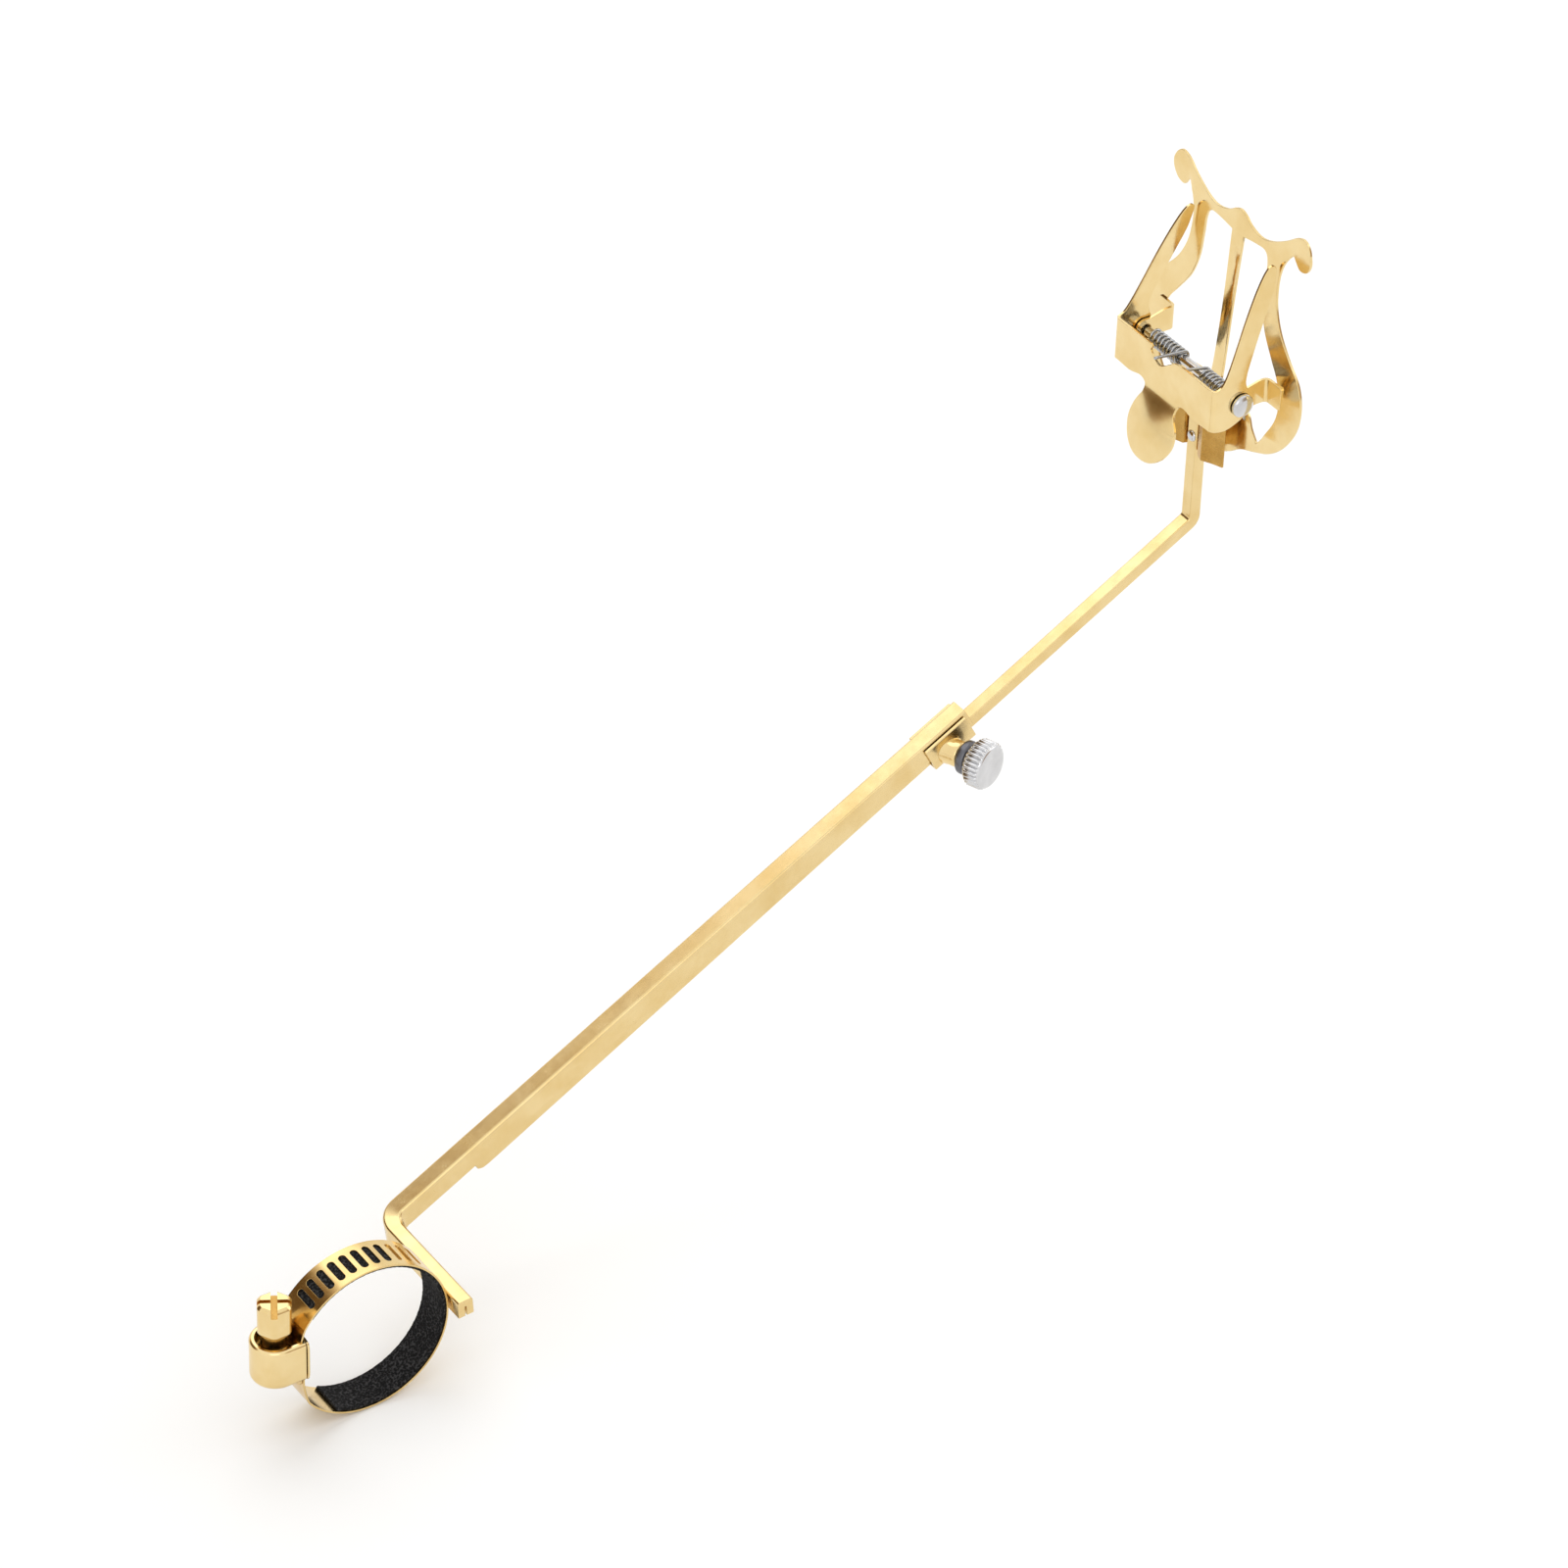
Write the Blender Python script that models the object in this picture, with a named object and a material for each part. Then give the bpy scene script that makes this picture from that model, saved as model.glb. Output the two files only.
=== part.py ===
"""Clamp-on music lyre with a telescopic arm: a worm-drive band clamp, a folded
channel with a sliding rod, and a spring-loaded lyre clip.

Frame: metres. Origin at the middle of the clamp's seat, the face under the worm
housing that bears on the tube, +X along the ring's axis, +Y to the rear (the arm
leans that way), +Z up (the lyre stands upright). The numbers below are in
millimetres from the ring's centre, and new_object moves them into the frame.
"""

import math

import bmesh
import bpy
import numpy as np
from mathutils import Matrix, Vector

MM = 0.001

# ---- clamp ring -------------------------------------------------------------
BAND_R = 21.0  # outer radius of the band
BAND_T = 0.5  # band thickness
BAND_W = 10.4  # band width along X
FLAT_IN = -18.3  # mid plane (y) of the inner layer under the housing
FLAT_OUT = -19.0  # mid plane (y) of the outer, slotted layer
SLOT_PITCH = 3.175  # worm pitch, and so the slot pitch
SLOT_L = 6.9
SLOT_W = 1.8
SLOT_FIRST_DEG = 133.7  # first open slot above the housing
OPEN_SLOTS = 8
BLIND_SLOTS = 3
FOAM_T = 0.6
FOAM_GAP = 0.15
FOAM_FROM_DEG, FOAM_TO_DEG = -118.0, 141.0

# ---- worm drive -------------------------------------------------------------
WORM_Y = -23.0  # worm axis, parallel to Z at x = 0
WORM_CREST = 3.25
WORM_ROOT = 2.5
HOUSE_Z = (-4.2, 7.4)
HOUSE_R = 6.1  # outside radius of the housing's arch
HOUSE_T = 0.7
HEX_FLATS = 8.0
HEX_Z = (10.0, 18.2)
SADDLE_Y = (-17.75, -17.1)

# ---- arm --------------------------------------------------------------------
ARM_RISE = math.radians(28.9)
ARM_X = -27.0
TAIL_YZ = (23.37, 1.84)  # centre line of the tail
TAIL_END_X = 9.0
TAIL_W, TAIL_H, TAIL_T = 4.2, 4.8, 1.9
TWIST = math.radians(24.4)
BEND_R = 4.6
CH_W, CH_H, CH_T = 5.2, 5.5, 0.5
CH_END = 185.2  # along the arm, from the tail's centre line
COLLAR = (171.2, 184.2)
COLLAR_T = 0.8
COLLAR_GAP = 0.3

# ---- sliding rod ------------------------------------------------------------
ROD_W, ROD_T = 3.8, 3.2
ROD_LEAN = math.radians(0.69)  # the rod sits a little askew in the channel
ROD_FROM = 25.0
ROD_LOW_AT_START = -6.3
LYRE_AT = (-27.0, 250.8, 127.5)  # foot of the stem, origin of the lyre frame
STEM_TOP = 35.0
ROD_BEND_R = 2.6

# ---- locking screw ----------------------------------------------------------
SCREW_ALONG, SCREW_N = 175.6, -2.9
SCREW_DIR = (0.94, 0.31, -0.13)  # in the arm's own axes: across, along, normal
SCREW_R = 1.7
HEAD_R, HEAD_H = 6.1, 5.6
BOSS_R = 3.3

# ---- lyre -------------------------------------------------------------------
SHEET = 0.75
PIN_Y, PIN_Z = -3.5, 42.8
PIN_R = 1.2
F_Y = -11.9  # front face of the clip's plate
F_HALF = 20.0  # outer face of its ears
F_FOLD_R = 1.6
R_EAR_X = 18.6  # mid plane of the rear lyre's ears

SEAT = Vector((0, SADDLE_Y[1], (HOUSE_Z[0] + HOUSE_Z[1]) / 2))  # the frame's origin
AX = Vector((1, 0, 0))
AD = Vector((0, math.cos(ARM_RISE), math.sin(ARM_RISE)))  # along the arm
AN = Vector((0, -math.sin(ARM_RISE), math.cos(ARM_RISE)))  # normal to its top face
TAIL0 = Vector((ARM_X, TAIL_YZ[0], TAIL_YZ[1]))
ROD_D = (AD * math.cos(ROD_LEAN) + AN * math.sin(ROD_LEAN)).normalized()
ROD_N = (AN * math.cos(ROD_LEAN) - AD * math.sin(ROD_LEAN)).normalized()
LYRE0 = Vector(LYRE_AT)
SCREW_AXIS = (AX * SCREW_DIR[0] + AD * SCREW_DIR[1] + AN * SCREW_DIR[2]).normalized()


# ============================ helpers ========================================
def clear():
    for obj in list(bpy.data.objects):
        bpy.data.objects.remove(obj, do_unlink=True)


def material(name, colour, rough, metal):
    mat = bpy.data.materials.new(name)
    mat.use_nodes = True
    bsdf = mat.node_tree.nodes["Principled BSDF"]
    bsdf.inputs["Base Color"].default_value = (*colour, 1)
    bsdf.inputs["Roughness"].default_value = rough
    bsdf.inputs["Metallic"].default_value = metal
    return mat


def new_object(name, bm, mat, smooth=35, helper=False, origin=None):
    """Object from a bmesh in millimetres from the ring's centre; its own origin goes
    to the given point."""
    bmesh.ops.remove_doubles(bm, verts=bm.verts, dist=1e-5)
    bmesh.ops.recalc_face_normals(bm, faces=bm.faces)
    at = Vector(origin) if origin is not None else SEAT.copy()
    for v in bm.verts:
        v.co = (v.co - at) * MM
    if bm.calc_volume(signed=True) < 0:
        bmesh.ops.reverse_faces(bm, faces=bm.faces)
    mesh = bpy.data.meshes.new(name)
    bm.to_mesh(mesh)
    bm.free()
    obj = bpy.data.objects.new(name, mesh)
    bpy.context.scene.collection.objects.link(obj)
    obj.location = (at - SEAT) * MM
    if mat is not None:
        mesh.materials.append(mat)
    if smooth:
        mesh.shade_smooth()
        mesh.set_sharp_from_angle(angle=math.radians(smooth))
    if helper:
        obj.hide_render = True
        obj.display_type = "WIRE"
    return obj


def sweep(rings, bm=None):
    """Closed solid through rings of equal length (lists of points), with end caps."""
    bm = bm or bmesh.new()
    made = [[bm.verts.new(p) for p in ring] for ring in rings]
    n = len(rings[0])
    for a, b in zip(made, made[1:]):
        for i in range(n):
            bm.faces.new((a[i], a[(i + 1) % n], b[(i + 1) % n], b[i]))
    for ring in (made[0], made[-1]):
        face = bm.faces.new(ring)
        face.normal_update()
        if n > 4:
            bmesh.ops.triangulate(bm, faces=[face])
    return bm


def turned(profile, axis_at, axis, segments, radius=None):
    """Solid of revolution from (height, radius) pairs; radius(angle, r, i) may vary it."""
    axis = Vector(axis).normalized()
    side = axis.orthogonal().normalized() if abs(axis.z) < 0.99 else Vector((1, 0, 0))
    other = axis.cross(side)
    rings = []
    for i, (h, r) in enumerate(profile):
        ring = []
        for k in range(segments):
            a = 2 * math.pi * k / segments
            rr = radius(a, r, i) if radius else r
            ring.append(
                Vector(axis_at) + axis * h + (side * math.cos(a) + other * math.sin(a)) * rr
            )
        rings.append(ring)
    return sweep(rings)


def cut(obj, cutter, name):
    mod = obj.modifiers.new(name, "BOOLEAN")
    mod.operation = "DIFFERENCE"
    mod.object = cutter
    return mod


def rod_cutter(name, at, axis, radius, half, segments=20):
    bm = turned([(-half, radius), (half, radius)], at, axis, segments)
    return new_object(name, bm, None, smooth=0, helper=True)


def smooth_path(points, rounds=2):
    """Corner cutting on an open 2-D path; its ends stay."""
    for _ in range(rounds):
        out = [points[0]]
        for p, q in zip(points, points[1:]):
            out.append((p[0] * 0.75 + q[0] * 0.25, p[1] * 0.75 + q[1] * 0.25))
            out.append((p[0] * 0.25 + q[0] * 0.75, p[1] * 0.25 + q[1] * 0.75))
        out.append(points[-1])
        points = out
    return points


def catmull(points, per):
    """Smooth closed curve through 2-D points."""
    n, out = len(points), []
    for i in range(n):
        p0, p1, p2, p3 = (Vector(points[(i + j) % n]) for j in (-1, 0, 1, 2))
        for k in range(per):
            t = k / per
            out.append(
                0.5
                * (
                    2 * p1
                    + (p2 - p0) * t
                    + (2 * p0 - 5 * p1 + 4 * p2 - p3) * t * t
                    + (3 * p1 - p0 - 3 * p2 + p3) * t**3
                )
            )
    return [(p.x, p.y) for p in out]


def circle_2d(at, r, n):
    return [
        (at[0] + r * math.cos(2 * math.pi * k / n), at[1] + r * math.sin(2 * math.pi * k / n))
        for k in range(n)
    ]


def sheet(outline, holes, cuts_u, cuts_v, thickness, place):
    """Folded sheet: a flat pattern with holes, cut along the given lines, then
    each point (u, v) with offset w across the thickness goes to place(u, v, w)."""
    bm = bmesh.new()
    for loop in [outline] + holes:
        verts = [bm.verts.new((p[0], p[1], 0)) for p in loop]
        for a, b in zip(verts, verts[1:] + verts[:1]):
            bm.edges.new((a, b))
    bmesh.ops.triangle_fill(bm, use_beauty=True, use_dissolve=False, edges=bm.edges[:])
    for axis, values in (((1, 0, 0), cuts_u), ((0, 1, 0), cuts_v)):
        for value in values:
            at = Vector(axis) * value
            bmesh.ops.bisect_plane(
                bm,
                geom=bm.verts[:] + bm.edges[:] + bm.faces[:],
                dist=1e-4,
                plane_co=at,
                plane_no=axis,
            )
    bmesh.ops.remove_doubles(bm, verts=bm.verts, dist=0.02)
    bmesh.ops.dissolve_degenerate(bm, dist=1e-4, edges=bm.edges[:])
    faces = bm.faces[:]
    flat = {v: (v.co.x, v.co.y) for v in bm.verts}
    grown = bmesh.ops.extrude_face_region(bm, geom=faces)
    top = [g for g in grown["geom"] if isinstance(g, bmesh.types.BMVert)]
    for v in bm.verts:
        if v in flat:
            v.co = Vector((*flat[v], -thickness / 2))
    for v in top:
        v.co.z = thickness / 2
    for v in bm.verts:
        v.co = Vector(place(v.co.x, v.co.y, v.co.z))
    return bm


# ============================ materials ======================================
clear()
GOLD = material("pale_gold_plate", (0.88, 0.70, 0.36), 0.16, 1.0)
CHROME = material("chrome", (0.78, 0.79, 0.80), 0.14, 1.0)
DARK = material("dark_washer", (0.22, 0.22, 0.23), 0.35, 1.0)
FOAM = material("black_foam", (0.012, 0.012, 0.013), 0.95, 0.0)


# ============================ clamp ring =====================================
def band_path():
    """Mid line of the band in (y, z): from the inner end inside the housing, down,
    once round, and back into the housing as the outer layer."""
    r = BAND_R - BAND_T / 2
    a_in = math.acos(FLAT_IN / r)
    a_out = math.acos(FLAT_OUT / r)
    points = [(FLAT_IN, 6.6), (FLAT_IN, 2.0), (FLAT_IN, -3.0), (FLAT_IN, -6.0)]
    start, stop = 2 * math.pi - a_in, 2 * math.pi + a_out
    steps = 84
    for k in range(steps + 1):
        a = start + (stop - start) * k / steps
        points.append((r * math.cos(a), r * math.sin(a)))
    points += [(FLAT_OUT, 4.0), (FLAT_OUT, 0.0), (FLAT_OUT, -6.4)]
    return points


def strip(path, width, thickness):
    rings = []
    n = len(path)
    for i, (y, z) in enumerate(path):
        a, b = path[max(i - 1, 0)], path[min(i + 1, n - 1)]
        t = Vector((0, b[0] - a[0], b[1] - a[1])).normalized()
        nrm = Vector((0, -t.z, t.y))
        c = Vector((0, y, z))
        rings.append(
            [
                c + AX * (width / 2) + nrm * (thickness / 2),
                c - AX * (width / 2) + nrm * (thickness / 2),
                c - AX * (width / 2) - nrm * (thickness / 2),
                c + AX * (width / 2) - nrm * (thickness / 2),
            ]
        )
    return sweep(rings)


def slot_cutter(name, at, out, length, width, depth_in, depth_out):
    """Round-ended slot along X, cut along the direction `out`."""
    out = Vector(out).normalized()
    side = AX.cross(out)
    ring = []
    for end in (1, -1):
        for k in range(7):
            a = math.pi * (k / 6 - 0.5)
            ring.append(
                AX * end * (length / 2 - width / 2 + math.cos(a) * width / 2)
                + side * end * math.sin(a) * width / 2
            )
    c = Vector(at)
    bm = sweep([[c + p - out * depth_in for p in ring], [c + p + out * depth_out for p in ring]])
    return new_object(name, bm, None, smooth=0, helper=True)


band = new_object("clamp_band", strip(band_path(), BAND_W, BAND_T), GOLD)
slot_step = SLOT_PITCH / BAND_R
for k in range(OPEN_SLOTS + BLIND_SLOTS):
    a = math.radians(SLOT_FIRST_DEG) - k * slot_step
    out = Vector((0, math.cos(a), math.sin(a)))
    blind = k >= OPEN_SLOTS
    cutter = slot_cutter(
        f"cut_slot_{k}",
        out * (BAND_R - BAND_T / 2),
        out,
        SLOT_L,
        SLOT_W if not blind else 1.3,
        0.05 if blind else 0.6,
        0.6,
    )
    cut(band, cutter, f"slot_{k}")
for k in range(3):
    cutter = slot_cutter(
        f"cut_worm_slot_{k}", (0, FLAT_OUT, 3.6 - k * SLOT_PITCH), (0, -1, 0), SLOT_L, SLOT_W, 0.33, 0.6
    )
    cut(band, cutter, f"worm_slot_{k}")


def foam_path():
    r = BAND_R - BAND_T - FOAM_GAP - FOAM_T / 2
    a0, a1 = math.radians(FOAM_FROM_DEG), math.radians(FOAM_TO_DEG)
    return [
        (r * math.cos(a0 + (a1 - a0) * k / 64), r * math.sin(a0 + (a1 - a0) * k / 64))
        for k in range(65)
    ]


new_object("foam_lining", strip(foam_path(), BAND_W - 0.8, FOAM_T), FOAM)


# ============================ worm drive =====================================
def arch(radius, y_foot, steps=16):
    """Arch in (x, y): round over the worm, straight legs to the band."""
    pts = [(radius, y_foot)]
    for k in range(steps + 1):
        a = -math.pi * k / steps
        pts.append((radius * math.cos(a), WORM_Y + radius * math.sin(a)))
    pts.append((-radius, y_foot))
    return pts


def housing():
    foot = SADDLE_Y[0] - 0.3
    z0, z1 = HOUSE_Z
    outer = arch(HOUSE_R, foot)
    inner = arch(HOUSE_R - HOUSE_T, foot)
    # solid block of the outer arch with rolled ends, hollowed by the inner arch
    steps = [(z0, 0.8), (z0 + 0.25, 0.93), (z0 + 0.7, 1.0), (z1 - 0.8, 1.0), (z1 - 0.25, 0.95), (z1, 0.86)]
    rings = []
    for z, s in steps:
        ring = []
        for x, y in outer:
            dy = y - foot
            ring.append(Vector((x * (0.5 + 0.5 * s), foot + dy * (0.5 + 0.5 * s), z)))
        rings.append(ring)
    block = new_object("worm_housing", sweep(rings), GOLD)
    hollow = [
        [Vector((x, y + (0.6 if y > foot - 0.01 else 0), z)) for x, y in inner]
        for z in (z0 + 0.7, z1 - 0.7)
    ]
    cutter = new_object("cut_housing", sweep(hollow), None, smooth=0, helper=True)
    cut(block, cutter, "hollow")
    bore = rod_cutter("cut_housing_bore", (0, WORM_Y, z1), (0, 0, 1), 4.15, 1.6, 28)
    cut(block, bore, "neck_hole")
    small = rod_cutter("cut_housing_tip", (0, WORM_Y, z0), (0, 0, 1), 1.9, 1.6, 20)
    cut(block, small, "tip_hole")
    band_gap = bmesh.new()
    bmesh.ops.create_cube(band_gap, size=1)
    for v in band_gap.verts:
        v.co = Vector(
            (v.co.x * (BAND_W + 0.7), FLAT_OUT + 0.6 + v.co.y * 2.4, (z0 + z1) / 2 + v.co.z * 40)
        )
    cutter = new_object("cut_band_way", band_gap, None, smooth=0, helper=True)
    cut(block, cutter, "band_way")
    return block


housing()


def saddle():
    bm = bmesh.new()
    bmesh.ops.create_cube(bm, size=1)
    z0, z1 = HOUSE_Z
    for v in bm.verts:
        v.co = Vector(
            (
                v.co.x * 2 * HOUSE_R,
                (SADDLE_Y[0] + SADDLE_Y[1]) / 2 + v.co.y * (SADDLE_Y[1] - SADDLE_Y[0]),
                (z0 + z1) / 2 + v.co.z * (z1 - z0),
            )
        )
    bmesh.ops.bevel(
        bm,
        geom=[e for e in bm.edges if abs(e.verts[0].co.y - e.verts[1].co.y) > 0.1],
        offset=1.2,
        segments=4,
        profile=0.5,
        affect="EDGES",
    )
    return new_object("housing_saddle", bm, GOLD)


saddle()


def worm():
    seg = 36
    flats = HEX_FLATS / 2

    def hexagon(a):
        w = (a + math.pi / 6) % (math.pi / 3) - math.pi / 6
        return flats / math.cos(w)

    z_top, z_low = HEX_Z[1], HEX_Z[0]
    rows = [(-5.4, 1.2, "round"), (-5.1, 1.5, "round"), (-2.9, 1.5, "round"), (-2.9, WORM_ROOT, "round")]
    z = -2.5
    while z < 5.61:
        rows.append((z, None, "thread"))
        z += SLOT_PITCH / 6
    rows += [
        (5.9, WORM_ROOT, "round"),
        (6.1, WORM_ROOT, "round"),
        (6.1, 3.4, "round"),
        (z_low - 0.5, 3.4, "round"),
        (z_low - 0.5, 3.8, "round"),
        (z_low, 3.8, "round"),
        (z_low, 0, "hex"),
        (z_top - 0.5, 0, "hex"),
        (z_top, -0.55, "hex"),
    ]
    rings = []
    for h, r, kind in rows:
        ring = []
        for k in range(seg):
            a = 2 * math.pi * k / seg
            if kind == "hex":
                rr = min(hexagon(a), flats * 1.08) + r
            elif kind == "thread":
                phase = (h / SLOT_PITCH - a / (2 * math.pi)) % 1.0
                ridge = max(0.0, 1 - abs(phase - 0.5) / 0.28)
                fade = min(1.0, (h + 2.9) / 0.8, (5.9 - h) / 0.8)
                rr = WORM_ROOT + (WORM_CREST - WORM_ROOT) * min(1, ridge * 1.6) * max(0, fade)
            else:
                rr = r
            ring.append(Vector((rr * math.cos(a), WORM_Y + rr * math.sin(a), h)))
        rings.append(ring)
    obj = new_object("worm_screw", sweep(rings), GOLD, origin=(0, WORM_Y, 0))
    for name, degrees, width, depth in (("slot", 60.5, 1.6, 1.9), ("cross", -29.5, 1.2, 1.1)):
        bm = bmesh.new()
        bmesh.ops.create_cube(bm, size=1)
        turn = Matrix.Rotation(math.radians(degrees), 3, "Z")
        for v in bm.verts:
            p = turn @ Vector((v.co.x * width, v.co.y * 14, 0))
            v.co = Vector((p.x, WORM_Y + p.y, z_top - depth + (v.co.z + 0.5) * 4))
        cut(obj, new_object(f"cut_screw_{name}", bm, None, smooth=0, helper=True), name)
    return obj


worm()


# ============================ arm ============================================
def u_section(w, h, t):
    return [
        (-w / 2, -h / 2),
        (-w / 2, h / 2),
        (w / 2, h / 2),
        (w / 2, -h / 2),
        (w / 2 - t, -h / 2),
        (w / 2 - t, h / 2 - t),
        (-w / 2 + t, h / 2 - t),
        (-w / 2 + t, -h / 2),
    ]


def channel():
    rings = []

    def add(c, e1, e2, w, h, t):
        rings.append([c + e1 * p + e2 * q for p, q in u_section(w, h, t)])

    rad = (AD * math.cos(TWIST) - AN * math.sin(TWIST)).normalized()
    tan = (AD * math.sin(TWIST) + AN * math.cos(TWIST)).normalized()
    for x in (TAIL_END_X, -6.0, ARM_X + BEND_R + 1.2):
        add(Vector((x, TAIL0.y, TAIL0.z)), rad, tan, TAIL_W, TAIL_H, TAIL_T)
    steps = 14
    for k in range(steps + 1):
        s = k / steps
        al = s * math.pi / 2
        c = TAIL0 + AX * BEND_R * (1 - math.sin(al)) + AD * BEND_R * (1 - math.cos(al))
        e1b = AX * math.sin(al) + AD * math.cos(al)
        f = s * s * (3 - 2 * s)
        tau = TWIST * (1 - f)
        e1 = e1b * math.cos(tau) - AN * math.sin(tau)
        e2 = e1b * math.sin(tau) + AN * math.cos(tau)
        add(
            c,
            e1,
            e2,
            TAIL_W + (CH_W - TAIL_W) * f,
            TAIL_H + (CH_H - TAIL_H) * f,
            TAIL_T + (CH_T - TAIL_T) * min(1, f * 1.05),
        )
    for u in (BEND_R + 3, 90.0, CH_END):
        add(TAIL0 + AD * u, AX, AN, CH_W, CH_H, CH_T)
    return new_object("outer_channel", sweep(rings), GOLD)


def arm_point(across, along, normal):
    return TAIL0 + AX * across + AD * along + AN * normal


SCREW_AT = arm_point(0, SCREW_ALONG, SCREW_N)
chan = channel()
cut(chan, rod_cutter("cut_channel_screw", SCREW_AT + SCREW_AXIS * 5, SCREW_AXIS, 2.2, 4.5), "screw_way")


def rod_low(along):
    return ROD_LOW_AT_START + math.tan(ROD_LEAN) * (along - ROD_FROM)


def collar():
    inner_w = CH_W / 2 + COLLAR_GAP
    outer_w = inner_w + COLLAR_T
    low_in = rod_low(COLLAR[0]) - 0.3
    low_out = low_in - COLLAR_T
    top = 1.9
    r = 0.9
    ring = [(-outer_w, top), (-outer_w, low_out + r)]
    for k in range(1, 5):
        a = math.pi + k * math.pi / 10
        ring.append((-outer_w + r + r * math.cos(a), low_out + r + r * math.sin(a)))
    for k in range(0, 5):
        a = 1.5 * math.pi + k * math.pi / 10
        ring.append((outer_w - r + r * math.cos(a), low_out + r + r * math.sin(a)))
    ring += [
        (outer_w, low_out + r),
        (outer_w, top),
        (inner_w, top),
        (inner_w, low_in),
        (-inner_w, low_in),
        (-inner_w, top),
    ]
    rings = [[arm_point(p, s, q) for p, q in ring] for s in COLLAR]
    return new_object("clamp_collar", sweep(rings), GOLD)


col = collar()
cut(col, rod_cutter("cut_collar_screw", SCREW_AT + SCREW_AXIS * 5, SCREW_AXIS, 2.2, 4.5), "screw_way")

COLLAR_FACE = CH_W / 2 + COLLAR_GAP + COLLAR_T


def axis_reach(x_gap):
    """Distance along the screw's axis at which it crosses the plane x = ARM_X + x_gap."""
    return x_gap / SCREW_AXIS.x


def boss():
    """Threaded boss: its foot lies flat on the collar, its outer face is square to the screw."""
    side = SCREW_AXIS.orthogonal().normalized()
    other = SCREW_AXIS.cross(side)
    seg = 28
    foot_x = COLLAR_FACE + 0.3
    rings = []
    for r, where in ((2.15, "foot"), (BOSS_R, "foot"), (BOSS_R, 6.8), (BOSS_R - 0.5, 7.3), (2.15, 7.3)):
        ring = []
        for k in range(seg):
            a = 2 * math.pi * k / seg
            d = (side * math.cos(a) + other * math.sin(a)) * r
            h = (foot_x - d.x) / SCREW_AXIS.x if where == "foot" else where
            ring.append(SCREW_AT + d + SCREW_AXIS * h)
        rings.append(ring)
    bm = bmesh.new()
    made = [[bm.verts.new(p) for p in ring] for ring in rings]
    n = len(made)
    for i in range(n):
        a, b = made[i], made[(i + 1) % n]
        for k in range(seg):
            bm.faces.new((a[k], a[(k + 1) % seg], b[(k + 1) % seg], b[k]))
    return new_object("threaded_boss", bm, GOLD)


def ring_solid(name, at, axis, profile, seg, mat, origin=None):
    """Ring with a closed (height, radius) section turned round the axis."""
    axis = Vector(axis).normalized()
    side = axis.orthogonal().normalized()
    other = axis.cross(side)
    bm = bmesh.new()
    made = []
    for h, r in profile:
        made.append(
            [
                bm.verts.new(
                    Vector(at)
                    + axis * h
                    + (
                        side * math.cos(2 * math.pi * k / seg)
                        + other * math.sin(2 * math.pi * k / seg)
                    )
                    * r
                )
                for k in range(seg)
            ]
        )
    n = len(made)
    for i in range(n):
        a, b = made[i], made[(i + 1) % n]
        for k in range(seg):
            bm.faces.new((a[k], a[(k + 1) % seg], b[(k + 1) % seg], b[k]))
    return new_object(name, bm, mat, origin=origin)


boss()
ring_solid(
    "screw_washer",
    SCREW_AT,
    SCREW_AXIS,
    [(7.6, 2.0), (7.6, 3.9), (8.0, 4.3), (9.6, 4.3), (10.0, 3.9), (10.0, 2.0)],
    32,
    DARK,
)

HEAD_FROM = 10.3


def thumb_screw():
    ridges = 30
    seg = ridges * 4

    def radius(a, r, i):
        if r > HEAD_R - 0.7:
            phase = (a * ridges / (2 * math.pi)) % 1.0
            return r - (0.42 if phase < 0.5 else 0.0)
        return r

    h0, h1 = HEAD_FROM, HEAD_FROM + HEAD_H
    profile = [
        (2.9, 1.2),
        (3.2, SCREW_R),
        (h0, SCREW_R),
        (h0, HEAD_R - 2.2),
        (h0 + 0.9, HEAD_R - 0.75),
        (h0 + 0.9, HEAD_R),
        (h1 - 0.4, HEAD_R),
        (h1 - 0.4, HEAD_R - 0.75),
        (h1, HEAD_R - 1.1),
    ]
    bm = turned(profile, SCREW_AT, SCREW_AXIS, seg, radius)
    return new_object("thumb_screw", bm, CHROME, origin=SCREW_AT)


thumb_screw()


# ============================ sliding rod ====================================
def rod_centre_line():
    """Foot of the rod, the corner under the lyre, and the stem's top (mm)."""
    start = arm_point(0, ROD_FROM, ROD_LOW_AT_START) + ROD_N * (ROD_T / 2)
    reach = (LYRE0.y - start.y) / ROD_D.y
    corner = start + ROD_D * reach
    return start, corner


ROD_START, ROD_CORNER = rod_centre_line()


def rod():
    z_axis = Vector((0, 0, 1))
    turn = math.acos(ROD_D.dot(z_axis))
    back = ROD_BEND_R * math.tan(turn / 2)
    c_dir = -Vector((0, 0, 1)).cross(AX).normalized()
    rings = []

    def add(c, nrm):
        for_ring = []
        for p, q in ((-1, -1), (-1, 1), (1, 1), (1, -1)):
            for_ring.append(c + AX * (p * ROD_W / 2) + nrm * (q * ROD_T / 2))
        rings.append(for_ring)

    add(ROD_START, ROD_N)
    p0 = ROD_CORNER - ROD_D * back
    add(p0, ROD_N)
    centre = p0 + ROD_N * ROD_BEND_R
    steps = 8
    for k in range(1, steps + 1):
        m = Matrix.Rotation(turn * k / steps, 3, AX)
        nrm = m @ ROD_N
        add(centre - nrm * ROD_BEND_R, nrm)
    last = rings[-1]
    nrm = (Matrix.Rotation(turn, 3, AX) @ ROD_N).normalized()
    top = Vector((LYRE0.x, ROD_CORNER.y, LYRE0.z + STEM_TOP))
    add(top, nrm)
    return new_object("sliding_rod", sweep(rings), GOLD)


rod_obj = rod()


# ============================ lyre ===========================================
def L(x, y, z):
    return LYRE0 + Vector((x, y, z))


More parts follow.
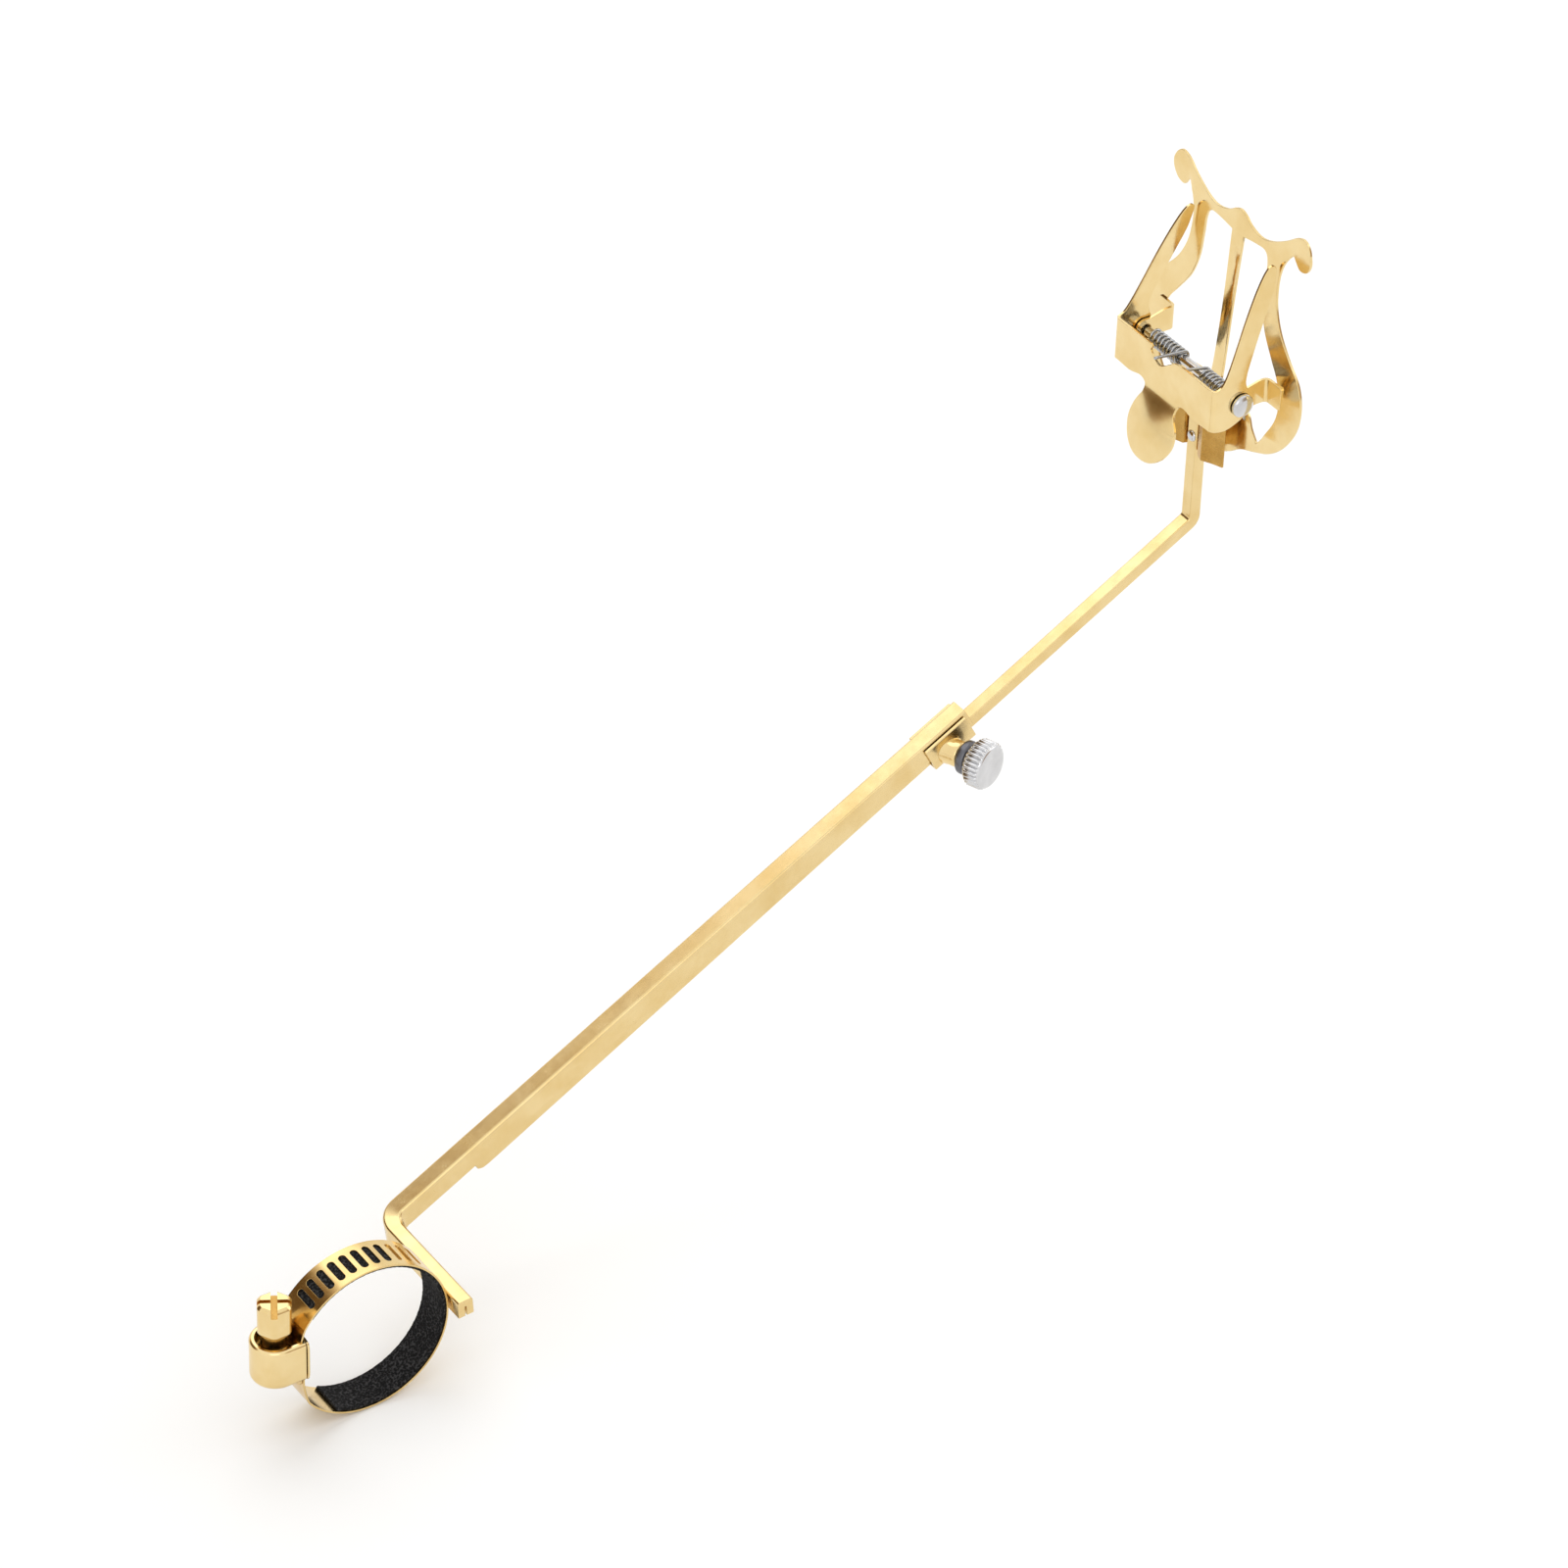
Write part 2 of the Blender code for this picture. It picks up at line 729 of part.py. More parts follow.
RIVET_Z = (22.0, 30.0)
BR_Y = (1.95, 2.65)  # back plate of the socket
for i, z in enumerate(RIVET_Z):
    cut(rod_obj, rod_cutter(f"cut_rod_rivet_{i}", L(0, 0, z), (0, 1, 0), 1.25, 4), f"rivet_{i}")


def thickened(points, t):
    """Closed outline of a folded strip: the given line with t/2 on either side."""
    left, right = [], []
    for i, p in enumerate(points):
        p = Vector(p)
        before = (p - Vector(points[i - 1])).normalized() if i else None
        after = (Vector(points[i + 1]) - p).normalized() if i + 1 < len(points) else None
        a, b = before or after, after or before
        na, nb = Vector((-a.y, a.x)), Vector((-b.y, b.x))
        off = (na + nb) * (t / 2) / (1 + na.dot(nb))
        left.append((p.x + off.x, p.y + off.y))
        right.append((p.x - off.x, p.y - off.y))
    return left + right[::-1]


BRACKET_LINE = [(10.8, 0.1), (8.0, -1.0), (5.4, -2.4), (3.2, -1.6), (2.6, 0.0), (2.6, 2.3)]


def bracket():
    """Pressed socket: round the back of the stem, forward, and out into two wings."""
    line = BRACKET_LINE + [(-x, y) for x, y in reversed(BRACKET_LINE)]
    ring = thickened(line, 0.7)
    rings = [[L(x, y, z) for x, y in ring] for z in (18.3, 33.0)]
    return new_object("base_bracket", sweep(rings), GOLD)


br = bracket()
for i, z in enumerate(RIVET_Z):
    cut(br, rod_cutter(f"cut_bracket_rivet_{i}", L(0, BR_Y[0], z), (0, 1, 0), 1.25, 2), f"rivet_{i}")


def rear_y(z):
    """Mid surface of the rear lyre: upright at its foot, leaning back above."""
    return 3.5 + min(max(0.0, z - 32.0) / 7.0, 1.0) * 1.5 + max(0.0, z - 39.0) * 0.077


RIGHT_OUTER = [
    (0.0, 82.6),
    (2.2, 81.9),
    (4.6, 80.4),
    (8.7, 79.5),
    (12.9, 80.6),
    (17.6, 83.2),
    (21.4, 85.9),
    (24.4, 86.4),
    (26.6, 84.2),
    (27.0, 81.0),
    (25.4, 78.2),
    (22.8, 77.6),
    (21.2, 79.4),
    (20.3, 80.2),
    (18.3, 77.4),
    (17.2, 74.0),
    (17.0, 70.0),
    (17.8, 65.0),
    (20.4, 59.6),
    (25.0, 54.4),
    (29.6, 50.0),
    (31.6, 44.6),
    (31.2, 38.4),
    (28.4, 32.6),
    (23.6, 28.4),
    (18.0, 25.8),
    (13.0, 23.8),
    (9.0, 21.0),
    (5.0, 18.9),
    (0.0, 18.2),
]
RIGHT_WINDOW = [
    (2.3, 76.2),
    (7.0, 76.9),
    (10.6, 76.9),
    (12.0, 74.6),
    (12.2, 69.5),
    (12.6, 63.5),
    (14.6, 57.4),
    (18.6, 51.6),
    (21.6, 47.6),
    (23.4, 43.0),
    (23.2, 37.0),
    (20.6, 31.4),
    (18.6, 28.6),
    (16.6, 31.0),
    (14.2, 34.4),
    (9.0, 36.2),
    (2.1, 36.8),
    (1.9, 48.0),
    (1.9, 60.0),
]


def mirror_loop(points):
    return points + [(-x, z) for x, z in reversed(points) if abs(x) > 1e-6]


def corner_loop(points, per, sharp=()):
    """Closed loop through the points, smooth except at the numbered corners."""
    out = []
    n = len(points)
    for i in range(n):
        p0, p1, p2, p3 = (Vector(points[(i + j) % n]) for j in (-1, 0, 1, 2))
        if i in sharp:
            p0 = p1 - (p2 - p1)
        if (i + 1) % n in sharp:
            p3 = p2 + (p2 - p1)
        for k in range(per):
            t = k / per
            p = 0.5 * (
                2 * p1
                + (p2 - p0) * t
                + (2 * p0 - 5 * p1 + 4 * p2 - p3) * t * t
                + (3 * p1 - p0 - 3 * p2 + p3) * t**3
            )
            out.append((p.x, p.y))
    return out


def rear_place(u, v, w):
    """Rear lyre pattern to space; the horns curl back at their tips."""
    x, z = u, v
    y = rear_y(v)
    slope = 0.077 if v > 39 else 0.15 if v > 32 else 0.0
    nrm = Vector((0, 1, -slope)).normalized()
    tip = max(0.0, 83.0 - v) if abs(u) > 19.5 and v > 76 else 0.0
    y += 0.16 * tip
    return L(x, y + w * nrm.y, z + w * nrm.z)


def rear_lyre(per=2):
    outer = corner_loop(mirror_loop(RIGHT_OUTER), per)
    right = corner_loop(RIGHT_WINDOW, per, sharp=(0, 12, 16))
    left = [(-x, z) for x, z in reversed(right)]
    holes = [right, left] + [circle_2d((0, z), 1.25, 14) for z in RIVET_Z]
    bm = sheet(
        outer,
        holes,
        (-19.5, 19.5),
        (32.0, 39.0, 50.0, 58.0, 66.0, 74.0, 80.0, 83.0),
        SHEET,
        rear_place,
    )
    return new_object("rear_lyre", bm, GOLD)


rl = rear_lyre()


def rear_ear(side):
    """Ear that runs forward from the rear lyre to the pin: root under the S arm's
    inner edge, rounded end round the pin."""
    z0, z1 = 40.4, 46.8
    y_root = rear_y(43.0) + 0.1
    pts = [(y_root, z0), (PIN_Y + 0.6, z0 - 0.05)]
    for k in range(1, 12):
        a = -math.pi / 2 - math.pi * k / 12
        pts.append((PIN_Y + 0.2 + 2.9 * math.cos(a), PIN_Z + 2.9 * math.sin(a)))
    pts += [(PIN_Y + 0.6, z1), (y_root, z1)]
    t = 0.8
    rings = []
    for x in (R_EAR_X - t / 2, R_EAR_X + t / 2):
        rings.append([L(side * x, y, z) for y, z in pts])
    return sweep(rings)


def ear_root(side):
    """Folded root between the ear and the S arm."""
    x0, x1 = R_EAR_X - 0.4, 24.6
    z0, z1 = 40.4, 46.8
    y0, y1 = rear_y(43) - 0.55, rear_y(43) + 0.2
    ring = [(x0, y0), (x1, y0), (x1, y1), (x0, y1)]
    return sweep([[L(side * x, y, z) for x, y in ring] for z in (z0, z1)])


for side, word in ((1, "right"), (-1, "left")):
    for label, bm in (("ear", rear_ear(side)), ("root", ear_root(side))):
        helper = new_object(f"add_{word}_{label}", bm, None, smooth=0, helper=True)
        mod = rl.modifiers.new(f"{word}_{label}", "BOOLEAN")
        mod.operation = "UNION"
        mod.object = helper
cut(rl, rod_cutter("cut_rear_pin", L(0, PIN_Y, PIN_Z), (1, 0, 0), PIN_R + 0.3, 24, 20), "pin_way")

# ---- front clip -------------------------------------------------------------
# Flat pattern: u runs across the plate and on round the folds into the ears.
FOLD_U = F_HALF - F_FOLD_R  # where the fold starts
MID_R = F_FOLD_R - SHEET / 2
FOLD_LEN = MID_R * math.pi / 2


def ear_u(y):
    """Pattern coordinate of a point of the ear at depth y."""
    return FOLD_U + FOLD_LEN + (y - (F_Y + F_FOLD_R))


def clip_lean(v):
    """How far the arms draw in towards the middle above the plate."""
    return max(0.0, v - 50.0) * 0.135


def clip_flare(v, u):
    """How far the thumb paddle stands forward of the plate, with a shallow cup."""
    d = max(0.0, 37.0 - v)
    cup = 0.028 * u * u * min(1.0, d / 6.0) * 0.6
    return 6.6 * (1 - math.exp(-d / 9.0)) - cup


def clip_place(u, v, w):
    s = 1 if u >= 0 else -1
    a = abs(u)
    if a <= FOLD_U:
        y = F_Y + SHEET / 2 - w
        return L(u, y - clip_flare(v, u), v)
    if a <= FOLD_U + FOLD_LEN:
        ang = (a - FOLD_U) / MID_R
        r = MID_R + w
        return L(
            s * (FOLD_U + r * math.sin(ang)), F_Y + F_FOLD_R - r * math.cos(ang), v
        )
    y = F_Y + F_FOLD_R + (a - FOLD_U - FOLD_LEN)
    return L(s * (F_HALF - SHEET / 2 + w - clip_lean(v)), y, v)


def arm_front(z):
    return -9.6 + (z - 48.0) * 0.433


CLIP_HALF = [
    (0.0, 20.6),
    (3.8, 21.3),
    (6.9, 23.6),
    (8.7, 27.2),
    (8.5, 30.6),
    (7.3, 33.2),
    (6.3, 35.2),
    (6.8, 37.2),
    (8.9, 37.9),
    (13.0, 37.0),
    (FOLD_U, 37.2),
    (ear_u(-8.0), 36.6),
    (ear_u(-4.5), 37.6),
    (ear_u(-1.6), 39.6),
    (ear_u(-0.6), 42.6),
    (ear_u(-1.4), 45.6),
    (ear_u(-2.3), 49.6),
    (ear_u(0.2), 56.6),
    (ear_u(3.2), 63.6),
    (ear_u(5.6), 69.2),
    (ear_u(6.5), 73.0),
    (ear_u(6.7), 75.6),
    (ear_u(5.3), 76.4),
    (ear_u(3.4), 74.8),
    (ear_u(0.7), 70.4),
    (ear_u(-2.4), 64.0),
    (ear_u(-5.4), 57.0),
    (ear_u(-8.0), 51.4),
    (ear_u(-9.9), 49.0),
    (FOLD_U - 0.5, 48.6),
    (12.0, 48.7),
    (5.0, 48.5),
]


def front_clip(per=2):
    half = CLIP_HALF
    left = [(-x, z) for x, z in reversed(half) if x > 1e-6]
    notch = [(2.2, 46.8), (-1.6, 44.6), (-5.2, 46.7)]
    points = half + notch + left
    outer = corner_loop(points, per)
    holes = [
        circle_2d((s * ear_u(PIN_Y), PIN_Z), PIN_R + 0.3, 18) for s in (1, -1)
    ]
    n = 4
    cuts = []
    for k in range(n + 1):
        cuts.append(FOLD_U + FOLD_LEN * k / n)
    cuts = [-c for c in reversed(cuts)] + [-6, -4, -2, 0, 2, 4, 6] + cuts
    bm = sheet(
        outer,
        holes,
        cuts,
        (22.0, 24.0, 26.0, 28.5, 31.0, 34.0, 37.0, 50.0),
        SHEET,
        clip_place,
    )
    return new_object("front_clip", bm, GOLD, origin=L(0, PIN_Y, PIN_Z))


front_clip()

# ---- rivets, pin and cap ----------------------------------------------------
for name, z in (("stem_rivet_lower", RIVET_Z[0]), ("stem_rivet_upper", RIVET_Z[1])):
    y_front = ROD_CORNER.y - LYRE0.y - ROD_T / 2 - 0.25
    y_back = rear_y(z) + SHEET / 2 + 0.25
    profile = [
        (y_front - 0.75, 0.6),
        (y_front - 0.55, 1.15),
        (y_front - 0.2, 1.5),
        (y_front, 1.55),
        (y_front, 0.95),
        (y_back, 0.95),
        (y_back, 1.9),
        (y_back + 0.4, 1.75),
        (y_back + 0.8, 1.2),
        (y_back + 0.95, 0.5),
    ]
    new_object(name, turned(profile, L(0, 0, z), (0, 1, 0), 20), CHROME)

EAR_OUT = F_HALF + 0.3
new_object(
    "hinge_pin",
    turned(
        [
            (-22.2, 0.9),
            (-22.0, PIN_R),
            (EAR_OUT, PIN_R),
            (EAR_OUT, 3.0),
            (EAR_OUT + 0.5, 3.0),
            (EAR_OUT + 1.0, 2.6),
            (EAR_OUT + 1.4, 1.8),
            (EAR_OUT + 1.6, 0.8),
        ],
        L(0, PIN_Y, PIN_Z),
        (1, 0, 0),
        28,
    ),
    CHROME,
    origin=L(0, PIN_Y, PIN_Z),
)
ring_solid(
    "pin_end_cap",
    L(0, PIN_Y, PIN_Z),
    (-1, 0, 0),
    [
        (EAR_OUT, PIN_R + 0.25),
        (EAR_OUT, 2.5),
        (EAR_OUT + 0.7, 2.5),
        (EAR_OUT + 1.3, 2.0),
        (EAR_OUT + 1.5, PIN_R + 0.25),
    ],
    24,
    CHROME,
)


# ---- springs ----------------------------------------------------------------
def wire(points, radius, sides):
    """Closed round wire along a smooth path."""
    pts = [Vector(p) for p in points]
    n = len(pts)
    t0 = (pts[1] - pts[0]).normalized()
    nrm = t0.orthogonal().normalized()
    rings = []
    for i, p in enumerate(pts):
        t = (pts[min(i + 1, n - 1)] - pts[max(i - 1, 0)]).normalized()
        nrm = (nrm - t * nrm.dot(t)).normalized()
        b = t.cross(nrm)
        rings.append(
            [
                p
                + (
                    nrm * math.cos(2 * math.pi * k / sides)
                    + b * math.sin(2 * math.pi * k / sides)
                )
                * radius
                for k in range(sides)
            ]
        )
    return sweep(rings)


COIL_R, WIRE_R = 1.85, 0.36


def spring_points(x_out, x_in, turns, per_turn):
    """Torsion spring round the pin: a leg back to the rear lyre's foot at the outer
    end, the coil, and a leg forward into the plate's notch at the inner end."""
    start, stop = math.radians(40), math.radians(81 + 360 * turns)
    n = int(per_turn * turns)
    pts = []
    leg_end = (x_out, 2.4, 33.6)
    first = (x_out, PIN_Y + COIL_R * math.cos(start), PIN_Z + COIL_R * math.sin(start))
    for k in range(4):
        f = k / 4
        pts.append(tuple(leg_end[j] * (1 - f) + first[j] * f for j in range(3)))
    for k in range(n + 1):
        f = k / n
        a = start + (stop - start) * f
        pts.append(
            (
                x_out + (x_in - x_out) * f,
                PIN_Y + COIL_R * math.cos(a),
                PIN_Z + COIL_R * math.sin(a),
            )
        )
    last = pts[-1]
    sign = 1 if x_in < 0 else -1
    tip = (last[0] + sign * 0.6, -12.4, 46.1) if x_in < 0 else (last[0] + sign * 0.6, -10.3, 45.9)
    for k in range(1, 5):
        f = k / 4
        pts.append(tuple(last[j] * (1 - f) + tip[j] * f for j in range(3)))
    return [L(*p) for p in pts]


new_object("left_spring", wire(spring_points(-14.6, -3.4, 8, 14), WIRE_R, 7), CHROME)
new_object("right_spring", wire(spring_points(14.6, 5.0, 7, 14), WIRE_R, 7), CHROME)
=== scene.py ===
"""The clamp-on lyre's looks: fine meshes, procedural materials, floor, light and camera.

Lengths below are millimetres from the clamp ring's centre; W moves a point into the
row frame, in metres.
"""

import math

import bmesh
import bpy
import numpy as np
from mathutils import Matrix, Vector
from mathutils.geometry import tessellate_polygon

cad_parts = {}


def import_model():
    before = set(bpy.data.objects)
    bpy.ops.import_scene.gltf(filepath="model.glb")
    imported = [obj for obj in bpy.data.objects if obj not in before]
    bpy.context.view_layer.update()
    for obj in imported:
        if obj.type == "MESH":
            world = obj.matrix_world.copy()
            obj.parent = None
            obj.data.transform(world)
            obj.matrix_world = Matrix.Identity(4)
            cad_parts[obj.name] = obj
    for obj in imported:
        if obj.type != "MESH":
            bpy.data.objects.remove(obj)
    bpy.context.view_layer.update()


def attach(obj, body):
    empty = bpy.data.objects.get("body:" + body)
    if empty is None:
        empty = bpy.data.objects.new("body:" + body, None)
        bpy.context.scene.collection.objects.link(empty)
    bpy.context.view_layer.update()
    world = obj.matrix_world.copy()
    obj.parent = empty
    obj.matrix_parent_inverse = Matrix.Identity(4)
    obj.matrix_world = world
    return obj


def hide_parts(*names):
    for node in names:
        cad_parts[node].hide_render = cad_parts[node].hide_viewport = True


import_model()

MM = 0.001
SEAT = Vector((0, -17.1, 1.6))


def W(p):
    return (Vector(p) - SEAT) * MM


# ============================ dimensions =====================================
BAND_R, BAND_T, BAND_W = 21.0, 0.5, 10.4
FLAT_IN, FLAT_OUT = -18.3, -19.0
SLOT_PITCH, SLOT_L, SLOT_W, SLOT_FIRST = 3.175, 6.9, 1.8, 133.7
FOAM_T, FOAM_FROM, FOAM_TO = 0.75, -118.0, 141.0
WORM_Y = -23.0
HOUSE_Z, HOUSE_R, HOUSE_T = (-4.2, 7.4), 6.1, 0.7
SADDLE_Y = (-17.75, -17.1)
HEX_Z, HEX_FLATS = (10.0, 18.2), 8.0
ARM_RISE = math.radians(28.9)
ARM_X, TAIL_YZ, TAIL_END_X = -27.0, (23.37, 1.84), 9.0
TAIL_W, TAIL_H, TAIL_T = 4.2, 4.8, 1.9
TWIST, BEND_R = math.radians(24.4), 4.6
CH_W, CH_H, CH_T, CH_END = 5.2, 5.5, 0.5, 185.2
COLLAR, COLLAR_T, COLLAR_GAP = (171.2, 184.2), 0.8, 0.3
ROD_W, ROD_T, ROD_LEAN = 3.8, 3.2, math.radians(0.69)
ROD_FROM, ROD_LOW, ROD_BEND_R, STEM_TOP = 25.0, -6.3, 2.6, 35.0
LYRE0 = Vector((-27.0, 250.8, 127.5))
SCREW_ALONG, SCREW_N, SCREW_DIR = 175.6, -2.9, (0.94, 0.31, -0.13)
HEAD_R, HEAD_H, HEAD_FROM, BOSS_R = 6.1, 5.6, 10.3, 3.3
SHEET = 0.75
PIN_Y, PIN_Z, PIN_R = -3.5, 42.8, 1.2
F_Y, F_HALF, F_FOLD_R, R_EAR_X = -11.9, 20.0, 1.6, 18.6

AX = Vector((1, 0, 0))
AD = Vector((0, math.cos(ARM_RISE), math.sin(ARM_RISE)))
AN = Vector((0, -math.sin(ARM_RISE), math.cos(ARM_RISE)))
TAIL0 = Vector((ARM_X, *TAIL_YZ))
ROD_D = (AD * math.cos(ROD_LEAN) + AN * math.sin(ROD_LEAN)).normalized()
ROD_N = (AN * math.cos(ROD_LEAN) - AD * math.sin(ROD_LEAN)).normalized()
SCREW_AXIS = (AX * SCREW_DIR[0] + AD * SCREW_DIR[1] + AN * SCREW_DIR[2]).normalized()


def arm_point(across, along, normal):
    return TAIL0 + AX * across + AD * along + AN * normal


def L(x, y, z):
    return LYRE0 + Vector((x, y, z))


# ============================ mesh helpers ===================================
class Shell:
    """Vertices, faces and the normal each face's corners shade with."""

    def __init__(self):
        self.v, self.f, self.n = [], [], []

    def vert(self, p):
        self.v.append(Vector(p))
        return len(self.v) - 1

    def face(self, index, normals):
        self.f.append(list(index))
        self.n.append([Vector(n) for n in normals])


def place_mesh(name, mesh, mat, body, nodes):
    obj = bpy.data.objects.new(name, mesh)
    bpy.context.scene.collection.objects.link(obj)
    mesh.materials.append(mat)
    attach(obj, body)
    if nodes:
        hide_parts(*nodes)
    return obj


def shell_piece(name, shell, mat, body, nodes=()):
    """A piece whose shading normals are the true surface's, so that it reflects cleanly."""
    faces, normals = [], []
    for index, ns in zip(shell.f, shell.n):
        flat = Vector((0, 0, 0))
        pts = [shell.v[i] for i in index]
        for a, b in zip(pts, pts[1:] + pts[:1]):
            flat += a.cross(b)
        if flat.dot(sum(ns, Vector((0, 0, 0)))) < 0:
            index, ns = index[::-1], ns[::-1]
        faces.append(index)
        normals.extend(n.normalized() for n in ns)
    mesh = bpy.data.meshes.new(name)
    mesh.from_pydata([W(p) for p in shell.v], [], faces)
    mesh.shade_smooth()
    mesh.normals_split_custom_set([tuple(n) for n in normals])
    return place_mesh(name, mesh, mat, body, nodes)


def bm_piece(name, bm, mat, body, nodes=(), smooth=35, bevel=0.0):
    bmesh.ops.remove_doubles(bm, verts=bm.verts, dist=1e-4)
    bmesh.ops.recalc_face_normals(bm, faces=bm.faces)
    for v in bm.verts:
        v.co = W(v.co)
    if bm.calc_volume(signed=True) < 0:
        bmesh.ops.reverse_faces(bm, faces=bm.faces)
    mesh = bpy.data.meshes.new(name)
    bm.to_mesh(mesh)
    bm.free()
    mesh.shade_smooth()
    mesh.set_sharp_from_angle(angle=math.radians(smooth))
    obj = place_mesh(name, mesh, mat, body, nodes)
    if bevel:
        mod = obj.modifiers.new("edge", "BEVEL")
        mod.width, mod.segments = bevel * MM, 2
        mod.limit_method, mod.angle_limit = "ANGLE", math.radians(40)
        mod.harden_normals = True
    return obj


def rounded(poly, radius, segs=4):
    """(x, y, nx, ny) round a closed polygon whose real corners are filleted; gentle
    corners, as on an arc, stay single points with the mean normal."""
    pts = [Vector(p) for p in poly]
    area = sum(a.x * b.y - b.x * a.y for a, b in zip(pts, pts[1:] + pts[:1]))
    if area < 0:
        pts.reverse()
        if not isinstance(radius, (int, float)):
            radius = list(radius)[::-1]
    out, n = [], len(pts)
    for i, p in enumerate(pts):
        a = (p - pts[i - 1]).normalized()
        b = (pts[(i + 1) % n] - p).normalized()
        na, nb = Vector((a.y, -a.x)), Vector((b.y, -b.x))
        r = radius if isinstance(radius, (int, float)) else radius[i]
        turn = a.x * b.y - a.y * b.x
        if na.dot(nb) > math.cos(math.radians(25)) or r <= 0:
            m = (na + nb).normalized()
            out.append((p.x, p.y, m.x, m.y))
            continue
        sign = 1 if turn > 0 else -1
        centre = p - (na + nb) * (sign * r / (1 + na.dot(nb)))
        a0 = math.atan2(na.y, na.x)
        sweep = math.atan2(turn, na.dot(nb))
        for k in range(segs + 1):
            t = a0 + sweep * k / segs
            m = Vector((math.cos(t), math.sin(t)))
            q = centre + m * (sign * r)
            out.append((q.x, q.y, m.x, m.y))
    return out


def swept(sections, frames, inset=0.15):
    """Closed solid along frames (centre, e1, e2, direction), with eased end edges."""
    shell = Shell()
    last = len(frames) - 1

    def ring(i, shift, shrink):
        c, e1, e2, t = frames[i]
        return [
            (
                shell.vert(c + t * shift + e1 * (p - a * shrink) + e2 * (q - b * shrink)),
                e1 * a + e2 * b,
            )
            for p, q, a, b in sections[i]
        ]

    rows = [(ring(0, 0, inset), -frames[0][3]), (ring(0, inset, 0), None)]
    rows += [(ring(i, 0, 0), None) for i in range(1, last)]
    rows += [(ring(last, -inset, 0), None), (ring(last, 0, inset), frames[last][3])]
    n = len(sections[0])
    for (a, ca), (b, cb) in zip(rows, rows[1:]):
        for k in range(n):
            j = (k + 1) % n
            quad = [a[k], a[j], b[j], b[k]]
            caps = [ca, ca, cb, cb]
            shell.face([q[0] for q in quad], [c or q[1] for q, c in zip(quad, caps)])
    for (row, cap), i in ((rows[0], 0), (rows[-1], last)):
        flat = [Vector((p - a * inset, q - b * inset, 0)) for p, q, a, b in sections[i]]
        for tri in tessellate_polygon([flat]):
            shell.face([row[k][0] for k in tri], [cap] * 3)
    return shell


def turned(profile, at, axis, segs, radius=None):
    """bmesh of a solid of revolution from (height, radius) pairs."""
    axis = Vector(axis).normalized()
    side = Vector((1, 0, 0)) if abs(axis.z) > 0.99 else axis.orthogonal().normalized()
    other = axis.cross(side)
    bm = bmesh.new()
    rows = []
    for i, (h, r) in enumerate(profile):
        row = []
        for k in range(segs):
            t = 2 * math.pi * k / segs
            rr = radius(t, r, i) if radius else r
            row.append(
                bm.verts.new(
                    Vector(at) + axis * h + (side * math.cos(t) + other * math.sin(t)) * rr
                )
            )
        rows.append(row)
    for a, b in zip(rows, rows[1:]):
        for k in range(segs):
            bm.faces.new((a[k], a[(k + 1) % segs], b[(k + 1) % segs], b[k]))
    for row in (rows[0], rows[-1]):
        bm.faces.new(row)
    return bm


def hollow(profile, at, axis, segs, foot=None):
    """Ring: a closed (height, radius) section turned round the axis."""
    axis = Vector(axis).normalized()
    side = axis.orthogonal().normalized()
    other = axis.cross(side)
    bm = bmesh.new()
    rows = []
    for h, r in profile:
        row = []
        for k in range(segs):
            t = 2 * math.pi * k / segs
            d = (side * math.cos(t) + other * math.sin(t)) * r
            hh = foot(d) if h is None else h
            row.append(bm.verts.new(Vector(at) + d + axis * hh))
        rows.append(row)
    n = len(rows)
    for i in range(n):
        a, b = rows[i], rows[(i + 1) % n]
        for k in range(segs):
            bm.faces.new((a[k], a[(k + 1) % segs], b[(k + 1) % segs], b[k]))
    return bm


def corner_loop(points, per, sharp=()):
    """Closed loop through the points, smooth except at the numbered corners."""
    out = []
    n = len(points)
    for i in range(n):
        p0, p1, p2, p3 = (Vector(points[(i + j) % n]) for j in (-1, 0, 1, 2))
        if i in sharp:
            p0 = p1 - (p2 - p1)
        if (i + 1) % n in sharp:
            p3 = p2 + (p2 - p1)
        for k in range(per):
            t = k / per
            p = 0.5 * (
                2 * p1
                + (p2 - p0) * t
                + (2 * p0 - 5 * p1 + 4 * p2 - p3) * t * t
                + (3 * p1 - p0 - 3 * p2 + p3) * t**3
            )
            out.append((p.x, p.y))
    return out


def circle_2d(at, r, n):
    return [
        (at[0] + r * math.cos(2 * math.pi * k / n), at[1] + r * math.sin(2 * math.pi * k / n))
        for k in range(n)
    ]


def mirror_loop(points):
    return points + [(-x, z) for x, z in reversed(points) if abs(x) > 1e-6]


